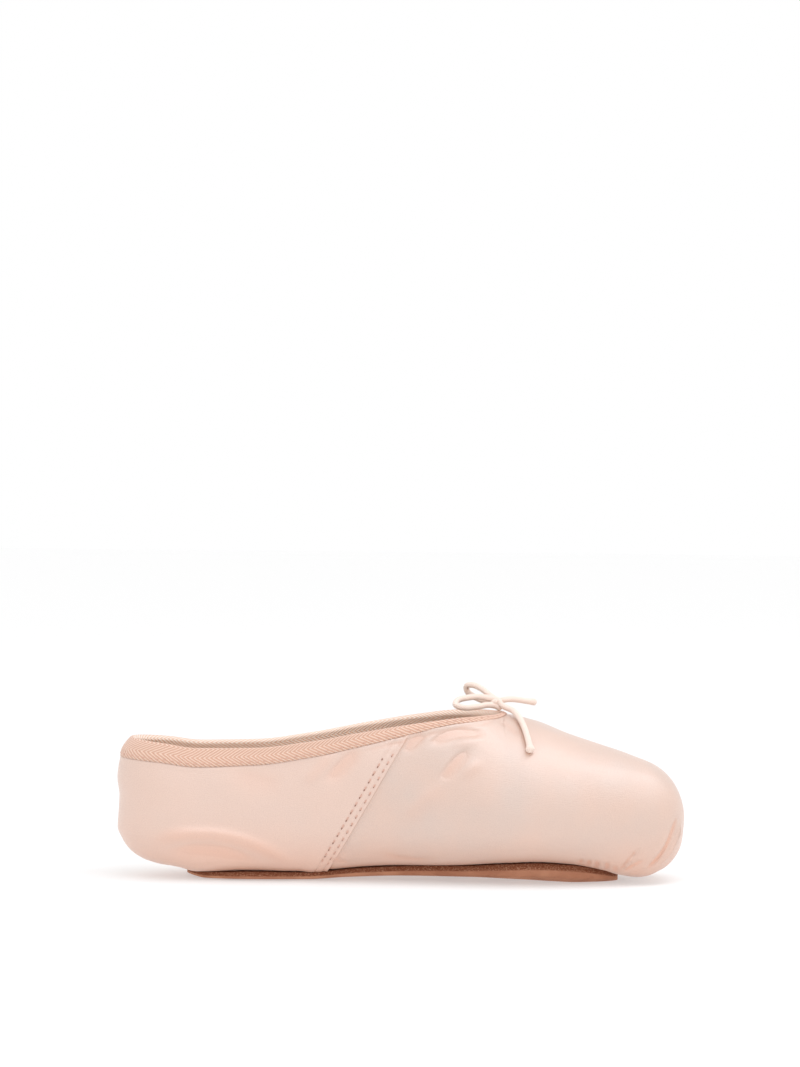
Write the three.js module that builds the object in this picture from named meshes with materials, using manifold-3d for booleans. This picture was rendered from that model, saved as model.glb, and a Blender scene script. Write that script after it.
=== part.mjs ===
// A pointe shoe standing empty on its sole, with the toe towards +X. Millimetres, +Z up.
// The upper is one hollow shell. Its ribs run round the last from the sole seam, out over the
// belly of the wall, and up to the collar or to the ridge where the vamp closes over the foot.
import * as THREE from 'three';
import { mergeVertices } from 'three/addons/utils/BufferGeometryUtils.js';
import Module from 'manifold-3d';

const wasm = await Module();
wasm.setup();

// First and last station of the last
const HEEL_X = -117.5;
const TOE_X = 117.8;

// The last, as sections across the foot joined by smooth curves. A row holds the station x,
// half width and height of the belly, half width and height of the collar edge (from the
// throat on, half width 0 at the ridge), height of the underside, and powers of both arcs.
const SECTION_COLUMNS = [
  'x', 'width', 'belly', 'collar', 'top', 'under', 'upperPower', 'lowerPower',
];
const SECTIONS = [
  [HEEL_X, 25.0, 23.0, 19.6, 57.0, 5.6, 2.2, 2.2],
  [-100.0, 25.4, 23.0, 19.6, 55.6, 4.8, 2.2, 2.2],
  [-84.0, 25.8, 22.5, 20.0, 54.0, 3.3, 2.2, 2.2],
  [-60.0, 26.4, 22.0, 21.6, 54.4, 3.8, 2.2, 2.2],
  [-38.0, 27.6, 22.0, 23.6, 57.2, 3.7, 2.2, 2.1],
  [-15.0, 29.8, 22.0, 24.8, 61.6, 5.6, 2.2, 2.0],
  [8.0, 33.2, 22.0, 24.4, 65.6, 6.8, 2.2, 2.0],
  [28.0, 36.0, 22.0, 22.5, 68.0, 7.4, 2.15, 2.0],
  [42.0, 37.2, 22.0, 20.0, 68.4, 8.4, 2.1, 2.0],
  [55.0, 37.0, 22.0, 18.0, 66.2, 9.0, 2.1, 2.0],
  [70.0, 35.2, 22.0, 18.0, 60.4, 8.3, 2.15, 2.05],
  [84.0, 31.6, 21.5, 18.0, 55.4, 5.6, 2.2, 2.15],
  [91.0, 29.5, 21.2, 18.0, 53.1, 3.5, 2.25, 2.2],
  [98.0, 27.0, 21.0, 18.0, 50.6, 2.9, 2.3, 2.3],
  [TOE_X, 21.6, 21.0, 18.0, 44.2, 6.0, 2.5, 2.5],
];
// The heel closes in a round end, and the toe in a flatter one round the platform's middle
const HEEL_CAP = { start: -86, power: 2.25 };
const TOE_CAP = { start: 99, power: 2.8 };
const PLATFORM_Z = 21;

// Largest part of a section's half width that the flat underside and the collar may take, and
// the most of the flat that the sole opening takes
const SEAM_LIMIT = 0.8;
const FLAT_TURN = 0.995;
const COLLAR_LIMIT = 0.98;

// The throat: where its point lies, where its round starts and turns across the foot, and
// the power of that round
const THROAT = { x: 42, start: 14, turn: 20, across: 40, power: 2.1 };

// Heel line: height and how far the line lies in front of the heel's last station
const HEEL_LINE = [
  [5.6, 16.0],
  [7.5, 10.6],
  [11.0, 5.4],
  [16.0, 1.8],
  [20.5, 0.1],
  [27.0, 0.5],
  [33.5, 0.9],
  [41.0, 0.1],
  [46.0, 0.5],
  [51.5, 1.9],
  [55.0, 3.9],
  [57.0, 5.6],
];
const HEEL_LINE_REACH = 40;

// Platform line: height and how far the platform leans back there
const TOE_LINE = [
  [2.0, 3.2],
  [12.0, 1.8],
  [21.0, 0.9],
  [30.0, 0.1],
  [69.0, 0.0],
];
const TOE_LINE_REACH = 26;

// Wall: satin, lining and the pasted box, thicker towards the toe
const WALL = [
  [HEEL_X, 2.0],
  [-60.0, 1.7],
  [0.0, 1.7],
  [40.0, 2.2],
  [75.0, 2.8],
  [TOE_X, 3.0],
];

// Outsole: its round ends, and the bevel round its top, as the most it takes and as a share
// of the edge's height; a row holds station, half width, height of its face above the floor
// along the middle, and how far the edge of the face lies above that
const OUTSOLE = {
  heelX: -88.4,
  toeX: 90.4,
  endLength: 24,
  endPower: 2.1,
  flatPart: 0.5,
  bevelWide: 0.9,
  bevelDeep: 1.3,
  bevelShare: 0.5,
};
const OUTSOLE_ROWS = [
  [-88.4, 17.0, 1.4, 0.5],
  [-80.0, 17.0, 0.0, 0.8],
  [-62.0, 17.0, 0.0, 0.8],
  [-38.0, 15.4, 0.0, 1.0],
  [-22.0, 13.8, 0.9, 1.2],
  [0.0, 13.6, 1.7, 0.9],
  [28.0, 18.6, 1.8, 1.4],
  [50.0, 22.4, 1.2, 2.3],
  [64.0, 21.6, 0.4, 3.1],
  [73.0, 20.0, 0.0, 2.8],
  [82.0, 18.4, 0.0, 2.0],
  [90.4, 17.0, 0.0, 1.0],
];

// How far the edge of the upper lies in from the edge of the outsole
const LASTING_MARGIN = 4.4;

// Insole: first and last station, how far it climbs the wall, its clearance and thickness
const INSOLE = { heelX: -113, toeX: 85, rise: 3.2, clear: 0.95, thick: 2.0 };

// Binding: a folded tape over the collar edge, whose outside turns under towards the throat
const BINDING_THICK = 0.9;
const BINDING_CLEAR_BELOW = 2;

// Binding: station and how far the tape reaches down the outside
const BINDING_ROWS = [
  [HEEL_X, 7.0],
  [-88.0, 7.4],
  [-60.0, 6.4],
  [-20.0, 5.0],
  [5.0, 3.4],
  [20.0, 1.8],
  [46.0, 1.6],
];

// Drawstring: a round cotton cord tied in a small bow over the throat
const CORD_RADIUS = 1.25;
const CORD_SIDES = 8;
const CORD_STEP = 3.4;
const KNOT = { centre: [38.9, -0.6, 73.3], radii: [3.0, 3.2, 2.2], round: 12, high: 8 };
const DRAWSTRING_ROUTES = {
  drawstring_loop_near: [
    [35.9, -3.6, 72.4], [31.0, -6.6, 71.8], [25.5, -8.6, 71.6], [22.4, -7.2, 72.5],
    [23.2, -3.6, 74.2], [28.0, -1.6, 75.3], [32.4, -1.2, 75.6], [35.6, -1.0, 75.1],
  ],
  drawstring_loop_far: [
    [36.6, 2.0, 75.9], [33.4, 4.6, 78.3], [29.6, 6.8, 79.8], [27.0, 8.8, 79.2],
    [27.4, 9.8, 76.8], [30.2, 8.6, 74.8], [33.4, 5.6, 73.6], [36.2, 3.4, 72.9],
  ],
  drawstring_tail_far: [
    [42.2, 0.8, 74.2], [45.0, 1.6, 74.5], [48.6, 2.2, 74.2], [52.4, 2.7, 73.6], [56.2, 3.0, 73.2],
  ],
};
const TAIL_NEAR = {
  start: [[41.9, -3.1, 71.8]],
  overVamp: [
    [45.4, -4.6, 1.3],
    [48.0, -9.8, 0.5],
    [50.0, -16.5, 0.45],
    [51.6, -22.4, 0.45],
    [52.7, -26.6, 0.45],
  ],
};

// Clearances between pieces: on the outside, over the collar edge, and inside the wall
const GAP = 0.3;
const EDGE_GAP = 0.5;
const INNER_GAP = 0.7;

// How finely the surfaces are divided
const LAST_STEPS = { heel: 9, waist: 16, throat: 7, vamp: 10, toe: 9 };
const ARC_STEPS = 48;
const UPPER_ROWS = { shoulder: 1.3, below: 9, above: 6 };
const BINDING_ROWS_ACROSS = 2;
const BINDING_FRONT_STEPS = [0, 0.35, 0.65, 0.88, 1];
const INSOLE_STEPS = [0, 0.4, 0.75, 1];
const PLATE_STEPS = 30;
const PLATE_EVENNESS = 0.4;
const SEARCH_STEPS = 24;
const KEY_SCALE = 1e5;
const WELD_DISTANCE = 1e-4;
const SLOPE_STEP = 0.5;

// Monotone cubic curve through rows of [x, value, ...], for the value in one column
function curveOf(rows, column = 1) {
  const x = rows.map((row) => row[0]);
  const y = rows.map((row) => row[column]);
  const last = x.length - 1;
  const slope = x.slice(1).map((value, i) => (y[i + 1] - y[i]) / (value - x[i]));
  const tangent = y.map((_, i) => {
    if (i === 0 || i === last) {
      return slope[Math.min(i, last - 1)];
    }
    if (slope[i - 1] * slope[i] <= 0) {
      return 0;
    }
    const before = x[i] - x[i - 1];
    const after = x[i + 1] - x[i];
    const weightBefore = 2 * after + before;
    const weightAfter = after + 2 * before;
    return (weightBefore + weightAfter) / (weightBefore / slope[i - 1] + weightAfter / slope[i]);
  });
  return (at) => {
    const value = Math.min(Math.max(at, x[0]), x[last]);
    const i = Math.max(0, Math.min(last - 1, x.findIndex((knot) => knot >= value) - 1));
    const span = x[i + 1] - x[i];
    const t = (value - x[i]) / span;
    const flat = t * t * (3 - 2 * t);
    const bend = t * (1 - t);
    return y[i] + (y[i + 1] - y[i]) * flat
      + span * bend * ((1 - t) * tangent[i] - t * tangent[i + 1]);
  };
}

const sectionCurve = Object.fromEntries(
  SECTION_COLUMNS.slice(1).map((name, i) => [name, curveOf(SECTIONS, i + 1)]),
);
const heelLine = curveOf(HEEL_LINE);
const toeLine = curveOf(TOE_LINE);
const wallAt = curveOf(WALL);
const outsoleWidth = curveOf(OUTSOLE_ROWS, 1);
const outsoleFace = curveOf(OUTSOLE_ROWS, 2);
const outsoleLift = curveOf(OUTSOLE_ROWS, 3);
const bindingWidth = curveOf(BINDING_ROWS);

const smoothstep = (t) => {
  const value = Math.min(Math.max(t, 0), 1);
  return value * value * (3 - 2 * value);
};

// Values from one number towards another, without the last
const evenly = (from, to, count) => Array.from(
  { length: count },
  (_, i) => from + (to - from) * (i / count),
);

// Factor that closes a width in a superellipse: 1 before the start, 0 at the end
function closure(x, start, end, power) {
  const q = (x - start) / (end - start);
  if (q <= 0) {
    return 1;
  }
  return q >= 1 ? 0 : (1 - q ** power) ** (1 / power);
}

// Half width of a sole-like outline with rounded ends, in by a margin all round
function outlineHalf(x, ends, widthAt, margin) {
  const heel = closure(-x, -(ends.heelX + ends.endLength), -(ends.heelX + margin), ends.endPower);
  const toe = closure(x, ends.toeX - ends.endLength, ends.toeX - margin, ends.endPower);
  return (widthAt(x) - margin) * heel * toe;
}

// Collar half width at a station, for an edge moved outwards by an offset
function collarHalf(x, offset) {
  const heel = closure(-x, -HEEL_CAP.start, -HEEL_X, HEEL_CAP.power);
  const throat = closure(x, THROAT.start, THROAT.x + offset, THROAT.power);
  return (sectionCurve.collar(x) + offset) * heel * throat;
}

// Station and height to place: the heel and the platform follow their own lines
function placeX(x, z) {
  const heel = 1 - smoothstep((x - HEEL_X) / HEEL_LINE_REACH);
  const toe = 1 - smoothstep((TOE_X - x) / TOE_LINE_REACH);
  return x + heelLine(z) * heel - toeLine(z) * toe;
}

// Quarter turns of a superellipse, from its start to its end
function quarterArc(power) {
  return Array.from({ length: ARC_STEPS + 1 }, (_, i) => {
    const turn = (i / ARC_STEPS) * Math.PI / 2;
    return i === ARC_STEPS ? [0, 1] : [Math.cos(turn) ** (2 / power), Math.sin(turn) ** (2 / power)];
  });
}

// Half of a section as a dense line from the edge of the sole opening, out and up over the
// belly, to where its upper arc would close, with the girth at each point and at the collar
function ribAt(x) {
  const heel = closure(-x, -HEEL_CAP.start, -HEEL_X, HEEL_CAP.power);
  const toe = closure(x, TOE_CAP.start, TOE_X, TOE_CAP.power);
  const width = sectionCurve.width(x) * heel * toe;
  const belly = sectionCurve.belly(x);
  const under = PLATFORM_Z + (sectionCurve.under(x) - PLATFORM_Z) * toe;
  const top = PLATFORM_Z + (sectionCurve.top(x) - PLATFORM_Z) * toe;
  const collar = collarHalf(x, 0);
  const place = placeX(x, under);
  const even = (outsoleWidth(place) - LASTING_MARGIN) * heel * toe;
  const flat = Math.min(even, width * SEAM_LIMIT);
  const opening = outlineHalf(place, OUTSOLE, outsoleWidth, LASTING_MARGIN);
  const seam = Math.min(Math.max(opening, 0), flat * FLAT_TURN);
  const upper = sectionCurve.upperPower(x);
  const share = width > 0 ? Math.min(collar / width, COLLAR_LIMIT) : 0;
  const reach = (1 - share ** upper) ** (1 / upper);
  const points = [
    [seam, under],
    ...quarterArc(sectionCurve.lowerPower(x)).map(([down, out]) => (
      [flat + (width - flat) * out, belly - (belly - under) * down])),
    ...quarterArc(upper).slice(1).map(([out, up]) => (
      [width * out, belly + (top - belly) * up / reach])),
  ];
  const girth = [0];
  points.slice(1).forEach(([y, z], i) => {
    girth.push(girth[i] + Math.hypot(y - points[i][0], z - points[i][1]));
  });
  const close = girth[girth.length - 1];
  const girthWhere = (axis, value, passed) => {
    const i = points.findIndex((point, k) => k > ARC_STEPS + 1 && passed(point[axis]));
    if (i < 0) {
      return close;
    }
    const t = (value - points[i - 1][axis]) / (points[i][axis] - points[i - 1][axis]);
    return girth[i - 1] + (girth[i] - girth[i - 1]) * Math.min(Math.max(t, 0), 1);
  };
  const girthAtHalf = (half) => (half > 0 ? girthWhere(0, half, (y) => y <= half) : close);
  const collarGirth = share > 0 ? girthWhere(1, top, (z) => z >= top) : close;
  return { x, points, girth, girthAtHalf, collarGirth };
}

// Girth of the collar edge moved outwards by an offset, on one rib
function edgeGirth(rib, offset) {
  const along = rib.collarGirth - offset;
  if (rib.x < THROAT.turn) {
    return along;
  }
  const across = rib.girthAtHalf(collarHalf(rib.x, offset));
  const blend = smoothstep((rib.x - THROAT.turn) / (THROAT.across - THROAT.turn));
  return along * (1 - blend) + across * blend;
}

// Point of a rib at a girth, on the near side
function pointOn(rib, girth) {
  const last = rib.girth.length - 1;
  let i = rib.girth.findIndex((value) => value >= girth);
  i = i < 0 ? last : Math.max(1, i);
  const span = rib.girth[i] - rib.girth[i - 1];
  const t = span > 0 ? Math.min(Math.max((girth - rib.girth[i - 1]) / span, 0), 1) : 1;
  const y = rib.points[i - 1][0] + (rib.points[i][0] - rib.points[i - 1][0]) * t;
  const z = rib.points[i - 1][1] + (rib.points[i][1] - rib.points[i - 1][1]) * t;
  return [placeX(rib.x, z), y > 0 ? -y : 0, z];
}

// Stations along the last, closest where it turns: heel, throat and platform
function stations(apex = THROAT.x) {
  const quarter = (count) => Array.from({ length: count }, (_, i) => (i / count) * Math.PI / 2);
  const heelSpan = HEEL_CAP.start - HEEL_X;
  const toeSpan = TOE_X - TOE_CAP.start;
  const heel = quarter(LAST_STEPS.heel)
    .map((turn) => HEEL_CAP.start - heelSpan * Math.cos(turn) ** (2 / HEEL_CAP.power));
  const toe = quarter(LAST_STEPS.toe).reverse()
    .map((turn) => TOE_CAP.start + toeSpan * Math.cos(turn) ** (2 / TOE_CAP.power));
  return [
    ...heel,
    ...evenly(HEEL_CAP.start, THROAT.start, LAST_STEPS.waist),
    ...quarter(LAST_STEPS.throat).map((turn) => THROAT.start + (apex - THROAT.start) * Math.sin(turn)),
    ...evenly(apex, TOE_CAP.start, LAST_STEPS.vamp),
    ...toe,
  ];
}

// Both halves of a sheet as one indexed mesh: rows of points per rib, doubled across the
// middle, where equal points are shared
function sheetFrom(ribs) {
  const points = [];
  const known = new Map();
  const add = (point) => {
    const key = point.map((value) => Math.round(value * KEY_SCALE)).join(',');
    if (!known.has(key)) {
      known.set(key, points.push(point) - 1);
    }
    return known.get(key);
  };
  const mirrored = ([x, y, z]) => [x, 0 - y, z];
  const near = ribs.map((rib) => rib.map((point) => add(point)));
  const far = ribs.map((rib) => rib.map((point) => add(mirrored(point))));
  const triangles = [];
  const face = (a, b, c) => {
    if (a !== b && b !== c && c !== a) {
      triangles.push([a, b, c]);
    }
  };
  for (let i = 0; i + 1 < ribs.length; i += 1) {
    for (let j = 0; j + 1 < ribs[i].length; j += 1) {
      face(near[i][j], near[i + 1][j], near[i + 1][j + 1]);
      face(near[i][j], near[i + 1][j + 1], near[i][j + 1]);
      face(far[i][j], far[i + 1][j + 1], far[i + 1][j]);
      face(far[i][j], far[i][j + 1], far[i + 1][j + 1]);
    }
  }
  return { points, triangles };
}

// Normal at each point of a sheet, from the faces round it
function vertexNormals(sheet) {
  const normals = sheet.points.map(() => new THREE.Vector3());
  const corner = (i) => new THREE.Vector3(...sheet.points[i]);
  sheet.triangles.forEach(([a, b, c]) => {
    const origin = corner(a);
    const area = corner(b).sub(origin).cross(corner(c).sub(origin));
    [a, b, c].forEach((i) => normals[i].add(area));
  });
  return normals.map((normal) => normal.normalize());
}

// Closed wall between two offsets of a sheet: its skins, and a rim along every free edge
function wallFrom(sheet, outwards, inwards) {
  const normals = vertexNormals(sheet);
  const count = sheet.points.length;
  const moved = (distance) => sheet.points.map((point, i) => {
    const by = distance(point[0]);
    const normal = normals[i];
    const across = point[1] === 0 ? 0 : point[1] + normal.y * by;
    return [point[0] + normal.x * by, across, point[2] + normal.z * by];
  });
  const points = [...moved(outwards), ...moved((x) => -inwards(x))];
  const faces = [];
  const edges = new Map();
  sheet.triangles.forEach(([a, b, c]) => {
    faces.push([a, b, c], [a + count, c + count, b + count]);
    [[a, b], [b, c], [c, a]].forEach(([from, to]) => edges.set(`${from},${to}`, [from, to]));
  });
  edges.forEach(([from, to]) => {
    if (!edges.has(`${to},${from}`)) {
      faces.push([to, from, from + count], [to, from + count, to + count]);
    }
  });
  return solidFrom(points, faces);
}

function solidFrom(points, faces) {
  const geometry = new THREE.BufferGeometry();
  geometry.setAttribute('position', new THREE.Float32BufferAttribute(points.flat(), 3));
  geometry.setIndex(faces.flat());
  return geometry;
}

function manifoldOf(geometry) {
  const bare = geometry.clone();
  bare.deleteAttribute('normal');
  bare.deleteAttribute('uv');
  const merged = mergeVertices(bare, WELD_DISTANCE);
  return new wasm.Manifold(new wasm.Mesh({
    numProp: 3,
    vertProperties: Float32Array.from(merged.attributes.position.array),
    triVerts: Uint32Array.from(merged.index.array),
  }));
}

function geometryOf(manifold) {
  const mesh = manifold.getMesh();
  const geometry = new THREE.BufferGeometry();
  geometry.setAttribute('position', new THREE.BufferAttribute(mesh.vertProperties, 3));
  geometry.setIndex(new THREE.BufferAttribute(mesh.triVerts, 1));
  return geometry;
}

// Sheet of the last: every rib sampled at the girths that a function gives for it
function sheetOf(places, girthsOf) {
  return sheetFrom(places.map((x) => {
    const rib = ribAt(x);
    return girthsOf(rib).map((girth) => pointOn(rib, girth));
  }));
}

// Rows of the upper: even over the belly, and closer or wider above it up to the edge
function upperGeometry() {
  const places = [...stations(), TOE_X];
  const sheet = sheetOf(places, (rib) => {
    const edge = edgeGirth(rib, 0);
    const shoulder = Math.min(rib.girth[ARC_STEPS] * UPPER_ROWS.shoulder, edge * 0.8);
    return [
      ...evenly(0, shoulder, UPPER_ROWS.below),
      ...evenly(shoulder, edge, UPPER_ROWS.above),
      edge,
    ];
  });
  return wallFrom(sheet, () => 0, wallAt);
}

// The tape is cut between two forms of the collar band: a fuller one, less a closer one
function bindingGeometry() {
  const band = (border, thick) => {
    const edge = EDGE_GAP + thick;
    const front = THROAT.x + bindingWidth(THROAT.x) + border;
    const apex = THROAT.x - edge;
    const places = stations(apex)
      .filter((x) => x < apex)
      .concat(BINDING_FRONT_STEPS.map((t) => apex + (front - apex) * t));
    const sheet = sheetOf(places, (rib) => {
      const low = edgeGirth(rib, bindingWidth(rib.x) + border);
      const high = Math.max(edgeGirth(rib, -edge), low);
      return [...evenly(low, high, BINDING_ROWS_ACROSS), high];
    });
    return manifoldOf(wallFrom(sheet, () => GAP + thick, (x) => wallAt(x) + INNER_GAP + thick));
  };
  const fuller = band(0, BINDING_THICK);
  const closer = band(BINDING_CLEAR_BELOW, 0);
  return geometryOf(fuller.subtract(closer));
}

// Outsole: flat middle, edge a little raised, and a bevel round the top of its cut edge
function outsoleGeometry() {
  const ribs = Array.from({ length: PLATE_STEPS + 1 }, (_, i) => {
    const even = i / PLATE_STEPS;
    const rounded = (1 - Math.cos(even * Math.PI)) / 2;
    const share = PLATE_EVENNESS * even + (1 - PLATE_EVENNESS) * rounded;
    const x = OUTSOLE.heelX + (OUTSOLE.toeX - OUTSOLE.heelX) * share;
    const atEnd = i === 0 || i === PLATE_STEPS;
    const reach = atEnd ? 0 : outlineHalf(x, OUTSOLE, outsoleWidth, 0);
    const face = outsoleFace(x);
    const low = face + outsoleLift(x);
    const top = underside(x) - GAP;
    const bevel = Math.min(OUTSOLE.bevelDeep, (top - low) * OUTSOLE.bevelShare);
    const worn = (t) => [x, -reach * (OUTSOLE.flatPart + (1 - OUTSOLE.flatPart) * t),
      face + (low - face) * t ** 2];
    return [
      [x, 0, face],
      worn(0),
      worn(0.5),
      worn(1),
      [x, -reach, top - bevel],
      [x, -Math.max(reach - OUTSOLE.bevelWide, 0), top],
      [x, 0, top],
    ];
  });
  const sheet = sheetFrom(ribs);
  return solidFrom(sheet.points, sheet.triangles);
}

// Insole: a bed of even thickness on the last's underside, clear of the wall round it
function insoleGeometry() {
  const places = stations()
    .filter((x) => x > INSOLE.heelX && x < INSOLE.toeX);
  const sheet = sheetFrom(places.map((x) => {
    const rib = ribAt(x);
    const under = rib.points[0];
    const rim = rib.girth[rib.points.findIndex((point) => point[1] > under[1] + INSOLE.rise)];
    const middle = [[placeX(x, under[1]), 0, under[1]]];
    return middle.concat(INSOLE_STEPS.map((t) => pointOn(rib, rim * t)));
  }));
  const clear = (x) => wallAt(x) + INSOLE.clear;
  return wallFrom(sheet, (x) => -clear(x), (x) => clear(x) + INSOLE.thick);
}

// Height of the upper's underside along the middle, at a true place x
function underside(x) {
  let low = HEEL_X;
  let high = TOE_X;
  for (let i = 0; i < SEARCH_STEPS; i += 1) {
    const middle = (low + high) / 2;
    if (placeX(middle, sectionCurve.under(middle)) < x) {
      low = middle;
    } else {
      high = middle;
    }
  }
  return sectionCurve.under(low);
}

// Point over the vamp at a place in plan, lifted along the surface's normal
function overVamp(x, y, lift) {
  const at = (px, py) => {
    const rib = ribAt(px);
    return new THREE.Vector3(...pointOn(rib, rib.girthAtHalf(Math.abs(py))));
  };
  const centre = at(x, y);
  const along = at(x + SLOPE_STEP, y).sub(centre);
  const across = at(x, y - SLOPE_STEP).sub(centre);
  const normal = across.cross(along).normalize();
  return centre.addScaledVector(normal, lift);
}

function cordGeometry(route) {
  const path = new THREE.CatmullRomCurve3(route.map((point) => (
    point.isVector3 ? point : new THREE.Vector3(...point))), false, 'centripetal');
  const outline = new THREE.Shape(Array.from({ length: CORD_SIDES }, (_, i) => {
    const turn = (i / CORD_SIDES) * Math.PI * 2;
    return new THREE.Vector2(CORD_RADIUS * Math.cos(turn), CORD_RADIUS * Math.sin(turn));
  }));
  const steps = Math.max(4, Math.round(path.getLength() / CORD_STEP));
  return new THREE.ExtrudeGeometry(outline, { steps, extrudePath: path, bevelEnabled: false });
}

function knotGeometry() {
  const geometry = new THREE.SphereGeometry(1, KNOT.round, KNOT.high);
  geometry.scale(...KNOT.radii);
  geometry.translate(...KNOT.centre);
  return geometry;
}

const MATERIALS = {
  satin: { color: 0xefd0c3, roughness: 0.42, metalness: 0 },
  suede: { color: 0x9c6a54, roughness: 0.9, metalness: 0 },
  insole: { color: 0xe6d3c2, roughness: 0.85, metalness: 0 },
  tape: { color: 0xf0d2c2, roughness: 0.9, metalness: 0 },
  cord: { color: 0xf4dccb, roughness: 0.85, metalness: 0 },
};

const tailNearRoute = TAIL_NEAR.start.map((point) => new THREE.Vector3(...point)).concat(
  TAIL_NEAR.overVamp.map(([x, y, clear]) => overVamp(x, y, CORD_RADIUS + clear)),
);

const pieces = [
  ['outsole', outsoleGeometry(), 'suede'],
  ['upper', upperGeometry(), 'satin'],
  ['insole', insoleGeometry(), 'insole'],
  ['binding', bindingGeometry(), 'tape'],
  ['drawstring_knot', knotGeometry(), 'cord'],
  ...Object.entries(DRAWSTRING_ROUTES).map(([name, route]) => [name, cordGeometry(route), 'cord']),
  ['drawstring_tail_near', cordGeometry(tailNearRoute), 'cord'],
];

const group = new THREE.Group();
pieces.forEach(([name, geometry, finish]) => {
  const mesh = new THREE.Mesh(geometry, new THREE.MeshStandardMaterial(MATERIALS[finish]));
  mesh.name = name;
  group.add(mesh);
});

export default group;
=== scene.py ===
"""A satin pointe shoe with a drawstring bow, dressed over its CAD frame.

The toe points towards +X and the floor is z = 0. Sizes are in millimetres and turn into metres
where a mesh is made. Every shell follows the same last as the CAD solids.
"""

import logging
import math
from dataclasses import dataclass, field
from enum import Enum
from functools import partial
from typing import Any, Callable, Sequence

import bpy
import numpy as np
from mathutils import Matrix, Vector


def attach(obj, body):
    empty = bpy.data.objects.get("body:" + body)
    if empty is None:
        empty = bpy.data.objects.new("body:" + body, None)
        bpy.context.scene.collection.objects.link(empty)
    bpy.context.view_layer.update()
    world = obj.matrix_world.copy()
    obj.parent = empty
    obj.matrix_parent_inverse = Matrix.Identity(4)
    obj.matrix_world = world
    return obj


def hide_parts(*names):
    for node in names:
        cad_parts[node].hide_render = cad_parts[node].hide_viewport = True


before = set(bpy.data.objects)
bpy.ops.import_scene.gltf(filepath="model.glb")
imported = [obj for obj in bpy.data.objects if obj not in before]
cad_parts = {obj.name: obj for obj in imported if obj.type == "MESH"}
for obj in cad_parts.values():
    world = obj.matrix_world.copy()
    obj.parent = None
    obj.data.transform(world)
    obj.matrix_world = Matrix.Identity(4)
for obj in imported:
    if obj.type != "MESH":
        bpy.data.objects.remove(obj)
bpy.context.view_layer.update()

MM = 0.001
LOG = logging.getLogger("pointe_shoe")
Array = np.ndarray


# Numbers and curves


def smoothstep(value: Array) -> Array:
    """Ease from 0 to 1: three t squared less two t cubed, with t held between 0 and 1."""
    t = np.clip(value, 0.0, 1.0)
    return t * t * (3.0 - 2.0 * t)


def closure(x: Array, start: float, end: float, power: float) -> Array:
    """Superellipse quarter, 1 before start and 0 at end: (1 - q^power)^(1/power)."""
    q = np.clip((np.asarray(x, float) - start) / (end - start), 0.0, 1.0)
    return (1.0 - q**power) ** (1.0 / power)

def hump(value: Array, centre: float, width: float) -> Array:
    """Bell curve, 1 at its centre: exp(-((value - centre) / width)^2)."""
    return np.exp(-(((value - centre) / width) ** 2))


def monotone(rows: Sequence[Sequence[float]], column: int = 1) -> Callable[[Array], Array]:
    """Monotone cubic curve through a table's rows.

    Args:
        rows: rows that start with the place along the shoe.
        column: the column that the curve goes through.

    Returns:
        A function of the place, held at its ends.
    """
    table = np.array(rows, float)
    x, y = table[:, 0], table[:, column]
    span = np.diff(x)
    slope = np.diff(y) / span
    turn = slope[:-1] * slope[1:]
    wide = 2.0 * span[1:] + span[:-1]
    near = span[1:] + 2.0 * span[:-1]
    safe_a = np.where(turn > 0, slope[:-1], 1.0)
    safe_b = np.where(turn > 0, slope[1:], 1.0)
    inner = np.where(turn > 0, (wide + near) / (wide / safe_a + near / safe_b), 0.0)
    tangent = np.concatenate([[slope[0]], inner, [slope[-1]]])

    def at(value: Array) -> Array:
        held = np.clip(np.asarray(value, float), x[0], x[-1])
        i = np.clip(np.searchsorted(x, held) - 1, 0, len(x) - 2)
        t = (held - x[i]) / span[i]
        ease = t * t * (3.0 - 2.0 * t)
        bend = span[i] * t * (1.0 - t) * ((1.0 - t) * tangent[i] - t * tangent[i + 1])
        return y[i] + (y[i + 1] - y[i]) * ease + bend

    return at


def rowwise(query: Array, keys: Array, values: Array) -> Array:
    """Interpolate each row of values at that row's queries, as one flat interpolation.

    Args:
        query: (n, m) places.
        keys: (n, k) rising places.
        values: (n, k) values at the keys.

    Returns:
        (n, m) values.
    """
    low, high = keys[:, :1], keys[:, -1:]
    span = np.where(high > low, high - low, 1.0)
    offset = 2.0 * np.arange(len(keys))[:, None]
    flat_keys = ((keys - low) / span + offset).ravel()
    flat_query = (np.clip((query - low) / span, 0.0, 1.0) + offset).ravel()
    return np.interp(flat_query, flat_keys, values.ravel()).reshape(query.shape)


def travelled(path: Array) -> Array:
    """Distance gone at each point of a path, (n, d) to (n,)."""
    return np.concatenate([[0.0], np.cumsum(np.linalg.norm(np.diff(path, axis=0), axis=1))])


def row_lengths(y: Array, z: Array) -> Array:
    """Distance gone along each row of a grid of y and z."""
    step = np.hypot(np.diff(y, axis=1), np.diff(z, axis=1))
    return np.concatenate([np.zeros((len(y), 1)), np.cumsum(step, axis=1)], axis=1)


def round_stations(start: float, end: float, count: int, power: float) -> Array:
    """Stations from start to end, closer together towards the tip of a rounded end."""
    turn = np.linspace(0.0, math.pi / 2, count)
    return start + (end - start) * np.sin(turn) ** (2.0 / power)


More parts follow.
